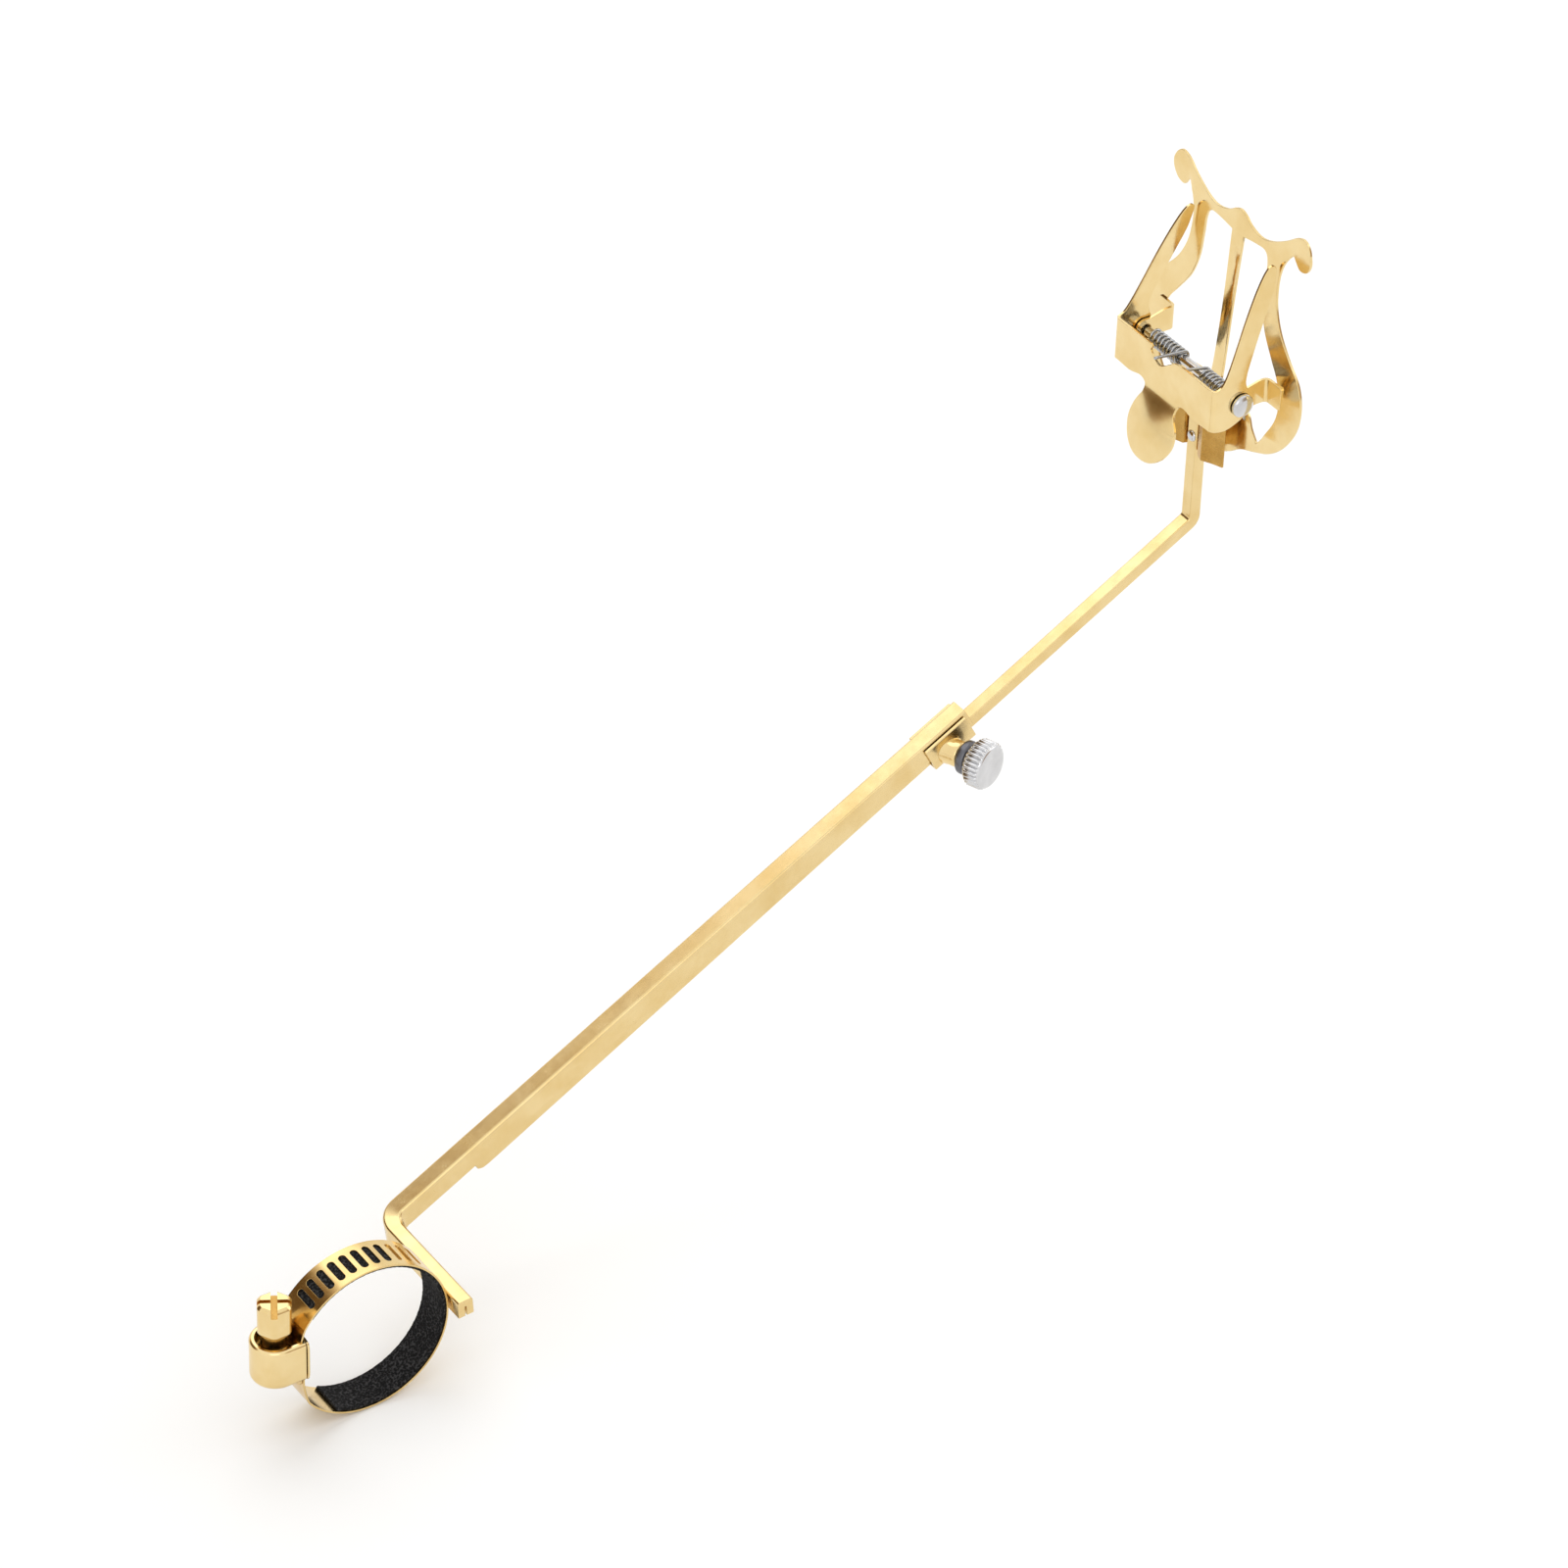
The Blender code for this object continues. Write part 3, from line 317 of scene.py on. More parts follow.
def pressed(outline, holes, cuts_u, cuts_v, t, place, ease=0.14):
    """Shell of folded sheet metal. The flat pattern, with its edges eased, is cut along
    the given lines and then each point (u, v, w) goes to place(u, v, w). Every corner
    shades with the mapped normal of the pattern."""
    bm = bmesh.new()
    layer = bm.verts.layers.float_vector.new("pattern_normal")
    rings = []
    for loop, want in [(outline, 1)] + [(h, -1) for h in holes]:
        pts = []
        for p in loop:
            p = Vector(p)
            if not pts or (p - pts[-1]).length > 0.04:
                pts.append(p)
        if (pts[0] - pts[-1]).length < 0.04:
            pts.pop()
        area = sum(a.x * b.y - b.x * a.y for a, b in zip(pts, pts[1:] + pts[:1]))
        if area * want < 0:
            pts.reverse()
        n = len(pts)
        normals, inner = [], []
        for i, p in enumerate(pts):
            a = (p - pts[i - 1]).normalized()
            b = (pts[(i + 1) % n] - p).normalized()
            m = (Vector((a.y, -a.x)) + Vector((b.y, -b.x))).normalized()
            normals.append(m)
            inner.append(p - m * (ease / max(0.6, m.dot(Vector((a.y, -a.x))))))
        rings.append((pts, inner, normals))

    def add(p, w, nrm):
        v = bm.verts.new((p.x, p.y, w))
        v[layer] = nrm
        return v

    top = [[add(q, t / 2, (0, 0, 1)) for q in inner] for _, inner, _ in rings]
    edges = []
    for row in top:
        for a, b in zip(row, row[1:] + row[:1]):
            edges.append(bm.edges.new((a, b)))
    bmesh.ops.triangle_fill(bm, use_beauty=True, use_dissolve=False, edges=edges)
    top_faces = bm.faces[:]
    low = {}
    for row in top:
        for v in row:
            low[v] = add(v.co.xy, -t / 2, (0, 0, -1))
    for f in top_faces:
        if f.normal.z < 0:
            f.normal_flip()
        bm.faces.new([low[v] for v in reversed(f.verts)])
    for row, (pts, _, normals) in zip(top, rings):
        up = [add(p, t / 2 - ease, (m.x, m.y, 0)) for p, m in zip(pts, normals)]
        down = [add(p, -t / 2 + ease, (m.x, m.y, 0)) for p, m in zip(pts, normals)]
        bottom = [low[v] for v in row]
        n = len(row)
        for a, b in ((row, up), (up, down), (down, bottom)):
            for k in range(n):
                j = (k + 1) % n
                bm.faces.new((a[j], a[k], b[k], b[j]))
    for axis, values in (((1, 0, 0), cuts_u), ((0, 1, 0), cuts_v)):
        for value in values:
            bmesh.ops.bisect_plane(
                bm,
                geom=bm.verts[:] + bm.edges[:] + bm.faces[:],
                dist=1e-5,
                plane_co=Vector(axis) * value,
                plane_no=axis,
            )
    bm.verts.index_update()
    shell = Shell()
    mapped = []
    h = 1e-3
    for v in bm.verts:
        u, q, w = v.co
        shell.vert(place(u, q, w))
        pu = (place(u + h, q, w) - place(u - h, q, w)) / (2 * h)
        pv = (place(u, q + h, w) - place(u, q - h, w)) / (2 * h)
        pw = (place(u, q, w + h) - place(u, q, w - h)) / (2 * h)
        nrm = v[layer]
        m = pv.cross(pw) * nrm.x + pw.cross(pu) * nrm.y + pu.cross(pv) * nrm.z
        if pu.dot(pv.cross(pw)) < 0:
            m = -m
        mapped.append(m.normalized() if m.length > 1e-9 else Vector((0, 0, 1)))
    for f in bm.faces:
        index = [v.index for v in f.verts]
        shell.face(index, [mapped[i] for i in index])
    bm.free()
    return shell


def wire_piece(name, points, radius, sides, mat, body, nodes=()):
    pts = [Vector(p) for p in points]
    n = len(pts)
    nrm = (pts[1] - pts[0]).orthogonal().normalized()
    bm = bmesh.new()
    rows = []
    for i, p in enumerate(pts):
        t = (pts[min(i + 1, n - 1)] - pts[max(i - 1, 0)]).normalized()
        nrm = (nrm - t * nrm.dot(t)).normalized()
        b = t.cross(nrm)
        ends = [(0.0, radius)]
        if i == 0:
            ends = [(-0.25 * radius, 0.6 * radius), (0.0, radius)]
        if i == n - 1:
            ends = [(0.0, radius), (0.25 * radius, 0.6 * radius)]
        for shift, r in ends:
            rows.append(
                [
                    bm.verts.new(
                        p
                        + t * shift
                        + (
                            nrm * math.cos(2 * math.pi * k / sides)
                            + b * math.sin(2 * math.pi * k / sides)
                        )
                        * r
                    )
                    for k in range(sides)
                ]
            )
    for a, b in zip(rows, rows[1:]):
        for k in range(sides):
            bm.faces.new((a[k], a[(k + 1) % sides], b[(k + 1) % sides], b[k]))
    bm.faces.new(rows[0])
    bm.faces.new(rows[-1])
    return bm_piece(name, bm, mat, body, nodes, smooth=60)


# ============================ materials ======================================
def nodes_of(name):
    mat = bpy.data.materials.new(name)
    mat.use_nodes = True
    tree = mat.node_tree
    return mat, tree, tree.nodes["Principled BSDF"]


def link(tree, a, b):
    tree.links.new(a, b)


def noise(tree, scale, detail=3, rough=0.55, stretch=None, coords=None):
    coord = coords or tree.nodes.new("ShaderNodeTexCoord").outputs["Object"]
    if stretch:
        mapping = tree.nodes.new("ShaderNodeMapping")
        mapping.inputs["Scale"].default_value = stretch
        link(tree, coord, mapping.inputs["Vector"])
        coord = mapping.outputs["Vector"]
    n = tree.nodes.new("ShaderNodeTexNoise")
    n.inputs["Scale"].default_value = scale
    n.inputs["Detail"].default_value = detail
    n.inputs["Roughness"].default_value = rough
    link(tree, coord, n.inputs["Vector"])
    return n.outputs["Fac"]


def ramp(tree, fac, stops):
    r = tree.nodes.new("ShaderNodeValToRGB")
    while len(r.color_ramp.elements) < len(stops):
        r.color_ramp.elements.new(0.5)
    for e, (pos, colour) in zip(r.color_ramp.elements, stops):
        e.position = pos
        e.color = (*colour, 1) if len(colour) == 3 else colour
    link(tree, fac, r.inputs["Fac"])
    return r.outputs["Color"]


def remap(tree, fac, low, high):
    m = tree.nodes.new("ShaderNodeMapRange")
    m.inputs["From Min"].default_value = 0.3
    m.inputs["From Max"].default_value = 0.7
    m.inputs["To Min"].default_value = low
    m.inputs["To Max"].default_value = high
    link(tree, fac, m.inputs["Value"])
    return m.outputs["Result"]


def bump(tree, bsdf, height, strength, distance, under=None):
    b = tree.nodes.new("ShaderNodeBump")
    b.inputs["Strength"].default_value = strength
    b.inputs["Distance"].default_value = distance
    link(tree, height, b.inputs["Height"])
    if under is not None:
        link(tree, under, b.inputs["Normal"])
    link(tree, b.outputs["Normal"], bsdf.inputs["Normal"])
    return b.outputs["Normal"]


def gold_material(name, light, deep, rough, brushed=(1, 1, 1), wave=0.25, seed=0.0):
    """Bright gold plate: polished, with faint rolling marks, hazy patches and a thin
    clear lacquer."""
    mat, tree, bsdf = nodes_of(name)
    bsdf.inputs["Metallic"].default_value = 1.0
    tone = noise(tree, 90 + seed, 4, 0.6)
    link(tree, ramp(tree, tone, [(0.30, deep), (0.62, light)]), bsdf.inputs["Base Color"])
    haze = noise(tree, 260 + seed, 5, 0.7)
    link(tree, remap(tree, haze, rough * 0.75, rough * 1.45), bsdf.inputs["Roughness"])
    lines = noise(tree, 1500, 3, 0.6, stretch=brushed)
    soft = noise(tree, 140 + seed, 2, 0.5)
    first = bump(tree, bsdf, soft, wave, 0.00006)
    bump(tree, bsdf, lines, 0.10, 0.000012, under=first)
    bsdf.inputs["Coat Weight"].default_value = 0.08
    bsdf.inputs["Coat Roughness"].default_value = 0.06
    bsdf.inputs["Coat Tint"].default_value = (1.0, 0.97, 0.90, 1)
    return mat


def chrome_material(name, colour, rough, scale=700):
    mat, tree, bsdf = nodes_of(name)
    bsdf.inputs["Metallic"].default_value = 1.0
    dark = tuple(c * 0.86 for c in colour)
    tone = noise(tree, 220, 4, 0.6)
    link(tree, ramp(tree, tone, [(0.3, dark), (0.6, colour)]), bsdf.inputs["Base Color"])
    haze = noise(tree, 500, 5, 0.7)
    link(tree, remap(tree, haze, rough * 0.7, rough * 1.5), bsdf.inputs["Roughness"])
    bump(tree, bsdf, noise(tree, scale, 4, 0.6), 0.12, 0.00002)
    return mat


def foam_material(name):
    """Closed-cell foam: matt black with a fine, slightly lighter grain."""
    mat, tree, bsdf = nodes_of(name)
    coord = tree.nodes.new("ShaderNodeTexCoord").outputs["Object"]
    cells = tree.nodes.new("ShaderNodeTexVoronoi")
    cells.inputs["Scale"].default_value = 1900
    link(tree, coord, cells.inputs["Vector"])
    grain = noise(tree, 1300, 5, 0.75)
    mix = tree.nodes.new("ShaderNodeMath")
    mix.operation = "MULTIPLY"
    link(tree, cells.outputs["Distance"], mix.inputs[0])
    link(tree, grain, mix.inputs[1])
    link(
        tree,
        ramp(tree, mix.outputs["Value"], [(0.06, (0.0012, 0.0012, 0.0014)), (0.24, (0.0065, 0.0065, 0.007)), (0.42, (0.045, 0.045, 0.047))]),
        bsdf.inputs["Base Color"],
    )
    bsdf.inputs["Roughness"].default_value = 0.95
    bsdf.inputs["Specular IOR Level"].default_value = 0.22
    broad = bump(tree, bsdf, noise(tree, 420, 3, 0.6), 0.35, 0.0001)
    bump(tree, bsdf, mix.outputs["Value"], 0.8, 0.00016, under=broad)
    return mat


LIGHT = (0.85, 0.67, 0.35)
DEEP = (0.78, 0.575, 0.255)
GOLD = gold_material("polished_gold", LIGHT, DEEP, 0.13, (1, 14, 14))
GOLD_BAND = gold_material("band_gold", (0.78, 0.58, 0.27), (0.64, 0.43, 0.16), 0.17, (12, 1, 1), 0.2, 7.0)
GOLD_ARM = gold_material("arm_gold", (0.81, 0.63, 0.32), (0.74, 0.54, 0.235), 0.20, (16, 1, 1), 0.2, 3.0)
# darker copy of the gold: painted shade for the worm head's slots, the worm thread and the base bracket
GOLD_SHADE_PAINTED = gold_material("shade_painted_gold", (0.62, 0.38, 0.11), (0.42, 0.23, 0.05), 0.24, (8, 1, 1), 0.2, 11.0)
CHROME = chrome_material("bright_chrome", (0.66, 0.66, 0.67), 0.15)
STEEL = chrome_material("spring_steel", (0.42, 0.43, 0.45), 0.12)
WASHER = chrome_material("dark_steel", (0.15, 0.15, 0.165), 0.30)
FOAM = foam_material("foam")

ARM, WORM, WASH, KNOB = "clamp_arm", "worm", "washer", "locking_screw"
LYRE, CLIP = "rod_and_lyre", "clip"


# ============================ band and lining ================================
BAND_MID = BAND_R - BAND_T / 2
ANGLE_0 = 2 * math.pi - math.acos(FLAT_IN / BAND_MID)
ANGLE_1 = 2 * math.pi + math.acos(FLAT_OUT / BAND_MID)


def band_line():
    """Finely spaced mid line of the band, and its outward normals, from the inner end."""
    pts = [(FLAT_IN, 6.6 - 0.25 * k) for k in range(int((6.6 + 7.2) / 0.25))]
    steps = 400
    for k in range(6, steps - 5):
        a = ANGLE_0 + (ANGLE_1 - ANGLE_0) * k / steps
        pts.append((BAND_MID * math.cos(a), BAND_MID * math.sin(a)))
    pts += [(FLAT_OUT, 7.2 - 0.25 * k) for k in range(int((6.4 + 7.2) / 0.25) + 1)]
    arr = np.array(pts)
    for _ in range(10):
        arr[1:-1] = (arr[:-2] + 2 * arr[1:-1] + arr[2:]) / 4
    seg = np.linalg.norm(np.diff(arr, axis=0), axis=1)
    length = np.concatenate([[0], np.cumsum(seg)])
    tang = np.gradient(arr, axis=0)
    tang /= np.linalg.norm(tang, axis=1)[:, None]
    return arr, length, tang


LINE, LENGTH, TANGENT = band_line()
THETA = np.unwrap(np.arctan2(LINE[:, 1], LINE[:, 0]))


def band_place(u, v, w):
    y, z = (np.interp(u, LENGTH, LINE[:, k]) for k in (0, 1))
    ty, tz = (np.interp(u, LENGTH, TANGENT[:, k]) for k in (0, 1))
    k = 1 / math.hypot(ty, tz)
    return Vector((v, y + w * tz * k, z - w * ty * k))


def u_at(degrees):
    """Pattern length at which the outer turn of the band passes this angle."""
    want = math.radians(degrees)
    base = THETA[np.argmin(np.abs(LENGTH - LENGTH[-1] * 0.45))]
    while want < base:
        want += 2 * math.pi
    start = int(len(THETA) * 0.45)
    return float(np.interp(want, THETA[start:-60], LENGTH[start:-60]))


def slot_2d(u, half_len, half_w):
    """Round-ended slot, long across the band."""
    out = []
    for end in (1, -1):
        for k in range(9):
            a = math.pi * (k / 8 - 0.5)
            out.append(
                (u - end * math.sin(a) * half_w, end * (half_len - half_w + math.cos(a) * half_w))
            )
    return out


def clamp_band():
    total = float(LENGTH[-1])
    r, half = 2.0, BAND_W / 2
    outline = []
    for cu, cv, a0 in (
        (total - r, half - r, 0),
        (r * 0.5, half - r * 0.5, 90),
        (r * 0.5, -half + r * 0.5, 180),
        (total - r, -half + r, 270),
    ):
        rr = r if cu > total / 2 else r * 0.5
        for k in range(7):
            a = math.radians(a0 + 15 * k)
            outline.append((cu + rr * math.cos(a), cv + rr * math.sin(a)))
    step = math.degrees(SLOT_PITCH / BAND_R)
    holes = []
    for k in range(11):
        u = u_at(SLOT_FIRST - k * step)
        shrink = 0.0 if k < 8 else 0.12
        holes.append(slot_2d(u, SLOT_L / 2 - shrink, SLOT_W / 2 - shrink))
    for k in range(3):
        holes.append(slot_2d(total - 3.0 - k * SLOT_PITCH, SLOT_L / 2, SLOT_W / 2))
    cuts = [0.6 * k for k in range(1, int(total / 0.6) + 1) if 0.6 * k < total - 0.1]
    shell = pressed(outline, holes, cuts, (), BAND_T, band_place, ease=0.09)
    shell_piece("clamp_band", shell, GOLD_BAND, ARM, ("clamp_band",))


clamp_band()


def arc_frames(radius, a0, a1, steps):
    out = []
    for k in range(steps + 1):
        a = math.radians(a0 + (a1 - a0) * k / steps)
        n = Vector((0, math.cos(a), math.sin(a)))
        t = Vector((0, -math.sin(a), math.cos(a)))
        out.append((n * radius, AX, n, t))
    return out


def flat_bar(w, h, r, segs=3):
    return rounded([(-w / 2, -h / 2), (w / 2, -h / 2), (w / 2, h / 2), (-w / 2, h / 2)], r, segs)


def lining():
    """Foam strip with softly uneven edges, lying on the band."""
    steps = 230
    mid = BAND_R - BAND_T - 0.03 - FOAM_T / 2
    frames = arc_frames(mid, FOAM_FROM, FOAM_TO, steps)
    sections = []
    for k in range(steps + 1):
        wob = 0.05 * math.sin(k * 0.9) + 0.04 * math.sin(k * 2.3 + 1.0)
        thick = FOAM_T + 0.03 * math.sin(k * 1.7)
        w = BAND_W - 0.9 + wob
        base = -FOAM_T / 2 + (FOAM_T - thick)
        sections.append(
            rounded(
                [(-w / 2, base), (w / 2, base), (w / 2, FOAM_T / 2), (-w / 2, FOAM_T / 2)],
                [0.28, 0.28, 0.1, 0.1],
                4,
            )
        )
    shell_piece("foam_lining", swept(sections, frames, 0.2), FOAM, ARM, ("foam_lining",))


lining()

step_deg = math.degrees(SLOT_PITCH / BAND_R)
liner_to = SLOT_FIRST - 7.5 * step_deg
liner = arc_frames(BAND_R - BAND_T - 0.02, liner_to - 3.4 * step_deg, liner_to, 40)
shell_piece(
    "slot_backing",
    swept([flat_bar(BAND_W - 1.6, 0.06, 0.02, 1)] * len(liner), liner, 0.01),
    GOLD_BAND,
    ARM,
)

# ============================ worm drive =====================================
FOOT = SADDLE_Y[0] - 0.3


def arch_section(outer, inner, foot, segs=28):
    """Closed section of the bent shell: outer arch one way, inner arch back."""
    poly = [(outer, foot)]
    poly += [
        (outer * math.cos(-math.pi * k / segs), WORM_Y + outer * math.sin(-math.pi * k / segs))
        for k in range(segs + 1)
    ]
    poly += [(-outer, foot), (-inner, foot)]
    poly += [
        (-inner * math.cos(math.pi * k / segs), WORM_Y - inner * math.sin(math.pi * k / segs))
        for k in range(segs + 1)
    ]
    poly += [(inner, foot)]
    return poly


def housing():
    z0, z1 = HOUSE_Z
    up = Vector((0, 0, 1))
    low_r, top_r = 1.7, 0.9
    rows = [(z0 + low_r * (1 - math.sin(math.radians(t))), low_r * (1 - math.cos(math.radians(t)))) for t in (80, 68, 56, 44, 32, 20, 10, 0)]
    rows += [(z1 - top_r * (1 - math.sin(math.radians(t))), top_r * (1 - math.cos(math.radians(t)))) for t in (0, 15, 30, 45, 60, 72)]
    frames, sections = [], []
    for z, inset in rows:
        frames.append((Vector((0, 0, z)), Vector((1, 0, 0)), Vector((0, 1, 0)), up))
        outer = HOUSE_R - inset
        sections.append(rounded(arch_section(outer, outer - HOUSE_T, FOOT), 0.12, 2))
    shell = swept(sections, frames, 0.06)
    # tilt the shading normals over the two rolled ends
    for face, ns in zip(shell.f, shell.n):
        for i, idx in enumerate(face):
            z = shell.v[idx].z
            lean = 0.0
            if z < z0 + low_r:
                lean = -math.asin(min(1, max(0, (z0 + low_r - z) / low_r)))
            elif z > z1 - top_r:
                lean = math.asin(min(1, max(0, (z - z1 + top_r) / top_r)))
            if lean and abs(ns[i].z) < 0.5:
                side = ns[i].normalized()
                radial = Vector((shell.v[idx].x, shell.v[idx].y - WORM_Y, 0))
                if side.dot(radial) > 0:
                    ns[i] = side * math.cos(lean) + up * math.sin(lean)
    shell_piece("worm_housing", shell, GOLD, ARM, ("worm_housing",))
    # floor of the housing
    floor_r = HOUSE_R - low_r - 0.1
    outline = [(floor_r, -19.6)]
    outline += [
        (floor_r * math.cos(-math.pi * k / 24), WORM_Y + floor_r * math.sin(-math.pi * k / 24))
        for k in range(25)
    ]
    outline += [(-floor_r, -19.6)]
    floor = pressed(
        outline,
        [circle_2d((0, WORM_Y), 1.9, 24)],
        (),
        (),
        0.6,
        lambda u, v, w: Vector((u, v, z0 + 0.33 + w)),
        ease=0.05,
    )
    shell_piece("housing_floor", floor, GOLD, ARM)


housing()


def saddle():
    """Seat under the housing: a flat plate."""
    z0, z1 = HOUSE_Z
    t = SADDLE_Y[1] - SADDLE_Y[0]
    mid = (SADDLE_Y[0] + SADDLE_Y[1]) / 2
    outline = corner_loop(
        [(-6.0, z0 + 1.4), (-4.8, z0 + 0.1), (0, z0), (4.8, z0 + 0.1), (6.0, z0 + 1.4)]
        + [(6.1, 1.6), (6.0, z1 - 1.4), (4.8, z1 - 0.1), (0, z1), (-4.8, z1 - 0.1), (-6.0, z1 - 1.4), (-6.1, 1.6)],
        5,
    )
    shell = pressed(outline, [], (), (), t, lambda u, v, w: Vector((u, mid - w, v)), ease=0.12)
    shell_piece("housing_saddle", shell, GOLD, ARM, ("housing_saddle",))


saddle()


def worm():
    """Hexagon head with crossed slots, washer face, and the worm below it."""
    segs = 96
    flats = HEX_FLATS / 2
    low, top = HEX_Z

    def hexed(a, r, i):
        w = (a + math.pi / 6) % (math.pi / 3) - math.pi / 6
        return min(flats / math.cos(w), flats * 1.08) + r

    bm = turned(
        [(low, -0.45), (low + 0.35, 0), (top - 0.75, 0), (top - 0.3, -0.32), (top, -0.85)],
        (0, WORM_Y, 0),
        (0, 0, 1),
        segs,
        hexed,
    )
    head = bm_piece("worm_head", bm, GOLD, WORM, smooth=28)
    for name, degrees, width, depth in (("slot", 60.5, 1.6, 1.9), ("cross", -29.5, 1.2, 1.1)):
        cbm = bmesh.new()
        bmesh.ops.create_cube(cbm, size=1)
        turn = Matrix.Rotation(math.radians(degrees), 3, "Z")
        for v in cbm.verts:
            p = turn @ Vector((v.co.x * width, v.co.y * 14, 0))
            v.co = W((p.x, WORM_Y + p.y, top - depth + (v.co.z + 0.5) * 4))
        mesh = bpy.data.meshes.new("cut_" + name)
        cbm.to_mesh(mesh)
        cbm.free()
        cutter = bpy.data.objects.new("cut_" + name, mesh)
        bpy.context.scene.collection.objects.link(cutter)
        mod = head.modifiers.new(name, "BOOLEAN")
        mod.operation, mod.object = "DIFFERENCE", cutter
        graph = bpy.context.evaluated_depsgraph_get()
        done = bpy.data.meshes.new_from_object(head.evaluated_get(graph))
        head.modifiers.clear()
        head.data = done
        bpy.data.objects.remove(cutter, do_unlink=True)
    head.data.set_sharp_from_angle(angle=math.radians(28))
    # faces inside the slots take the darker gold as painted shade
    head.data.materials.append(GOLD_SHADE_PAINTED)
    centre = W((0, WORM_Y, top))
    for poly in head.data.polygons:
        q = (poly.center - centre) / MM
        for degrees, width, depth in ((60.5, 1.6, 1.9), (-29.5, 1.2, 1.1)):
            a = math.radians(degrees)
            if abs(q.x * math.cos(a) + q.y * math.sin(a)) < width / 2 + 0.01 and q.z > -depth - 0.01:
                poly.material_index = 1
    mod = head.modifiers.new("edge", "BEVEL")
    mod.width, mod.segments, mod.limit_method = 0.1 * MM, 2, "ANGLE"
    mod.angle_limit, mod.harden_normals = math.radians(50), True

    rows = [(-5.4, 1.1), (-5.25, 1.4), (-5.0, 1.5), (-3.0, 1.5), (-2.9, 2.4)]
    z = -2.7
    while z < 5.8:
        rows.append((z, None))
        z += SLOT_PITCH / 16
    rows += [(5.9, 2.5), (6.1, 3.3), (6.2, 3.4), (low - 0.6, 3.4), (low - 0.55, 3.7), (low - 0.45, 3.8)]
    rows += [(low - 0.15, 3.8), (low - 0.05, 3.7), (low - 0.02, 3.2)]

    def threaded(a, r, i):
        h = rows[i][0]
        if rows[i][1] is not None:
            return rows[i][1]
        phase = (h / SLOT_PITCH - a / (2 * math.pi)) % 1.0
        ridge = min(1.0, max(0.0, 1 - abs(phase - 0.5) / 0.30) * 1.7)
        fade = max(0.0, min(1.0, (h + 2.9) / 0.8, (5.9 - h) / 0.8))
        return 2.5 + 0.75 * ridge * fade

    bm = turned(
        [(h, r or 2.5) for h, r in rows], (0, WORM_Y, 0), (0, 0, 1), 64, threaded
    )
    # the worm inside the housing is drawn in the darker gold as painted shade
    bm_piece("worm_thread", bm, GOLD_SHADE_PAINTED, WORM, ("worm_screw",), smooth=50)


worm()


# ============================ arm ============================================
def u_poly(w, h, t):
    return [
        (-w / 2, -h / 2),
        (-w / 2 + t, -h / 2),
        (-w / 2 + t, h / 2 - t),
        (w / 2 - t, h / 2 - t),
        (w / 2 - t, -h / 2),
        (w / 2, -h / 2),
        (w / 2, h / 2),
        (-w / 2, h / 2),
    ]


def channel():
    frames, sections = [], []

    def add(c, e1, e2, t, w, h, thick):
        frames.append((c, e1, e2, t))
        inner = min(0.35, (w / 2 - thick) * 0.8)
        sections.append(
            rounded(
                u_poly(w, h, thick),
                [0.18, 0.15, inner, inner, 0.15, 0.18, 0.75, 0.75],
                5,
            )
        )

    rad = (AD * math.cos(TWIST) - AN * math.sin(TWIST)).normalized()
    tan = (AD * math.sin(TWIST) + AN * math.cos(TWIST)).normalized()
    for x in (TAIL_END_X, 4.0, -6.0, -14.0, ARM_X + BEND_R + 1.2):
        add(Vector((x, TAIL0.y, TAIL0.z)), rad, tan, -AX, TAIL_W, TAIL_H, TAIL_T)
    steps = 40
    for k in range(steps + 1):
        s = k / steps
        al = s * math.pi / 2
        c = TAIL0 + AX * BEND_R * (1 - math.sin(al)) + AD * BEND_R * (1 - math.cos(al))
        e1b = AX * math.sin(al) + AD * math.cos(al)
        t = -AX * math.cos(al) + AD * math.sin(al)
        f = s * s * (3 - 2 * s)
        tau = TWIST * (1 - f)
        e1 = e1b * math.cos(tau) - AN * math.sin(tau)
        e2 = e1b * math.sin(tau) + AN * math.cos(tau)
        add(
            c,
            e1,
            e2,
            t,
            TAIL_W + (CH_W - TAIL_W) * f,
            TAIL_H + (CH_H - TAIL_H) * f,
            TAIL_T + (CH_T - TAIL_T) * min(1, f * 1.05),
        )
    for u in (BEND_R + 3, 30.0, 60.0, 90.0, 120.0, 150.0, CH_END):
        add(TAIL0 + AD * u, AX, AN, AD, CH_W, CH_H, CH_T)
    shell_piece("outer_channel", swept(sections, frames, 0.12), GOLD_ARM, ARM, ("outer_channel",))


channel()


def collar():
    inner_w = CH_W / 2 + COLLAR_GAP
    outer_w = inner_w + COLLAR_T
    low_in = ROD_LOW + math.tan(ROD_LEAN) * (COLLAR[0] - ROD_FROM) - 0.3
    low_out = low_in - COLLAR_T
    top = 1.9
    poly = [
        (-outer_w, top),
        (-outer_w, low_out),
        (outer_w, low_out),
        (outer_w, top),
        (inner_w, top),
        (inner_w, low_in),
        (-inner_w, low_in),
        (-inner_w, top),
    ]
    section = rounded(poly, [0.3, 1.0, 1.0, 0.3, 0.12, 0.35, 0.35, 0.12], 6)
    frames = [(arm_point(0, s, 0), AX, AN, AD) for s in (COLLAR[0], 174.0, 178.0, COLLAR[1])]
    shell_piece("clamp_collar", swept([section] * 4, frames, 0.16), GOLD_ARM, ARM, ("clamp_collar",))


collar()

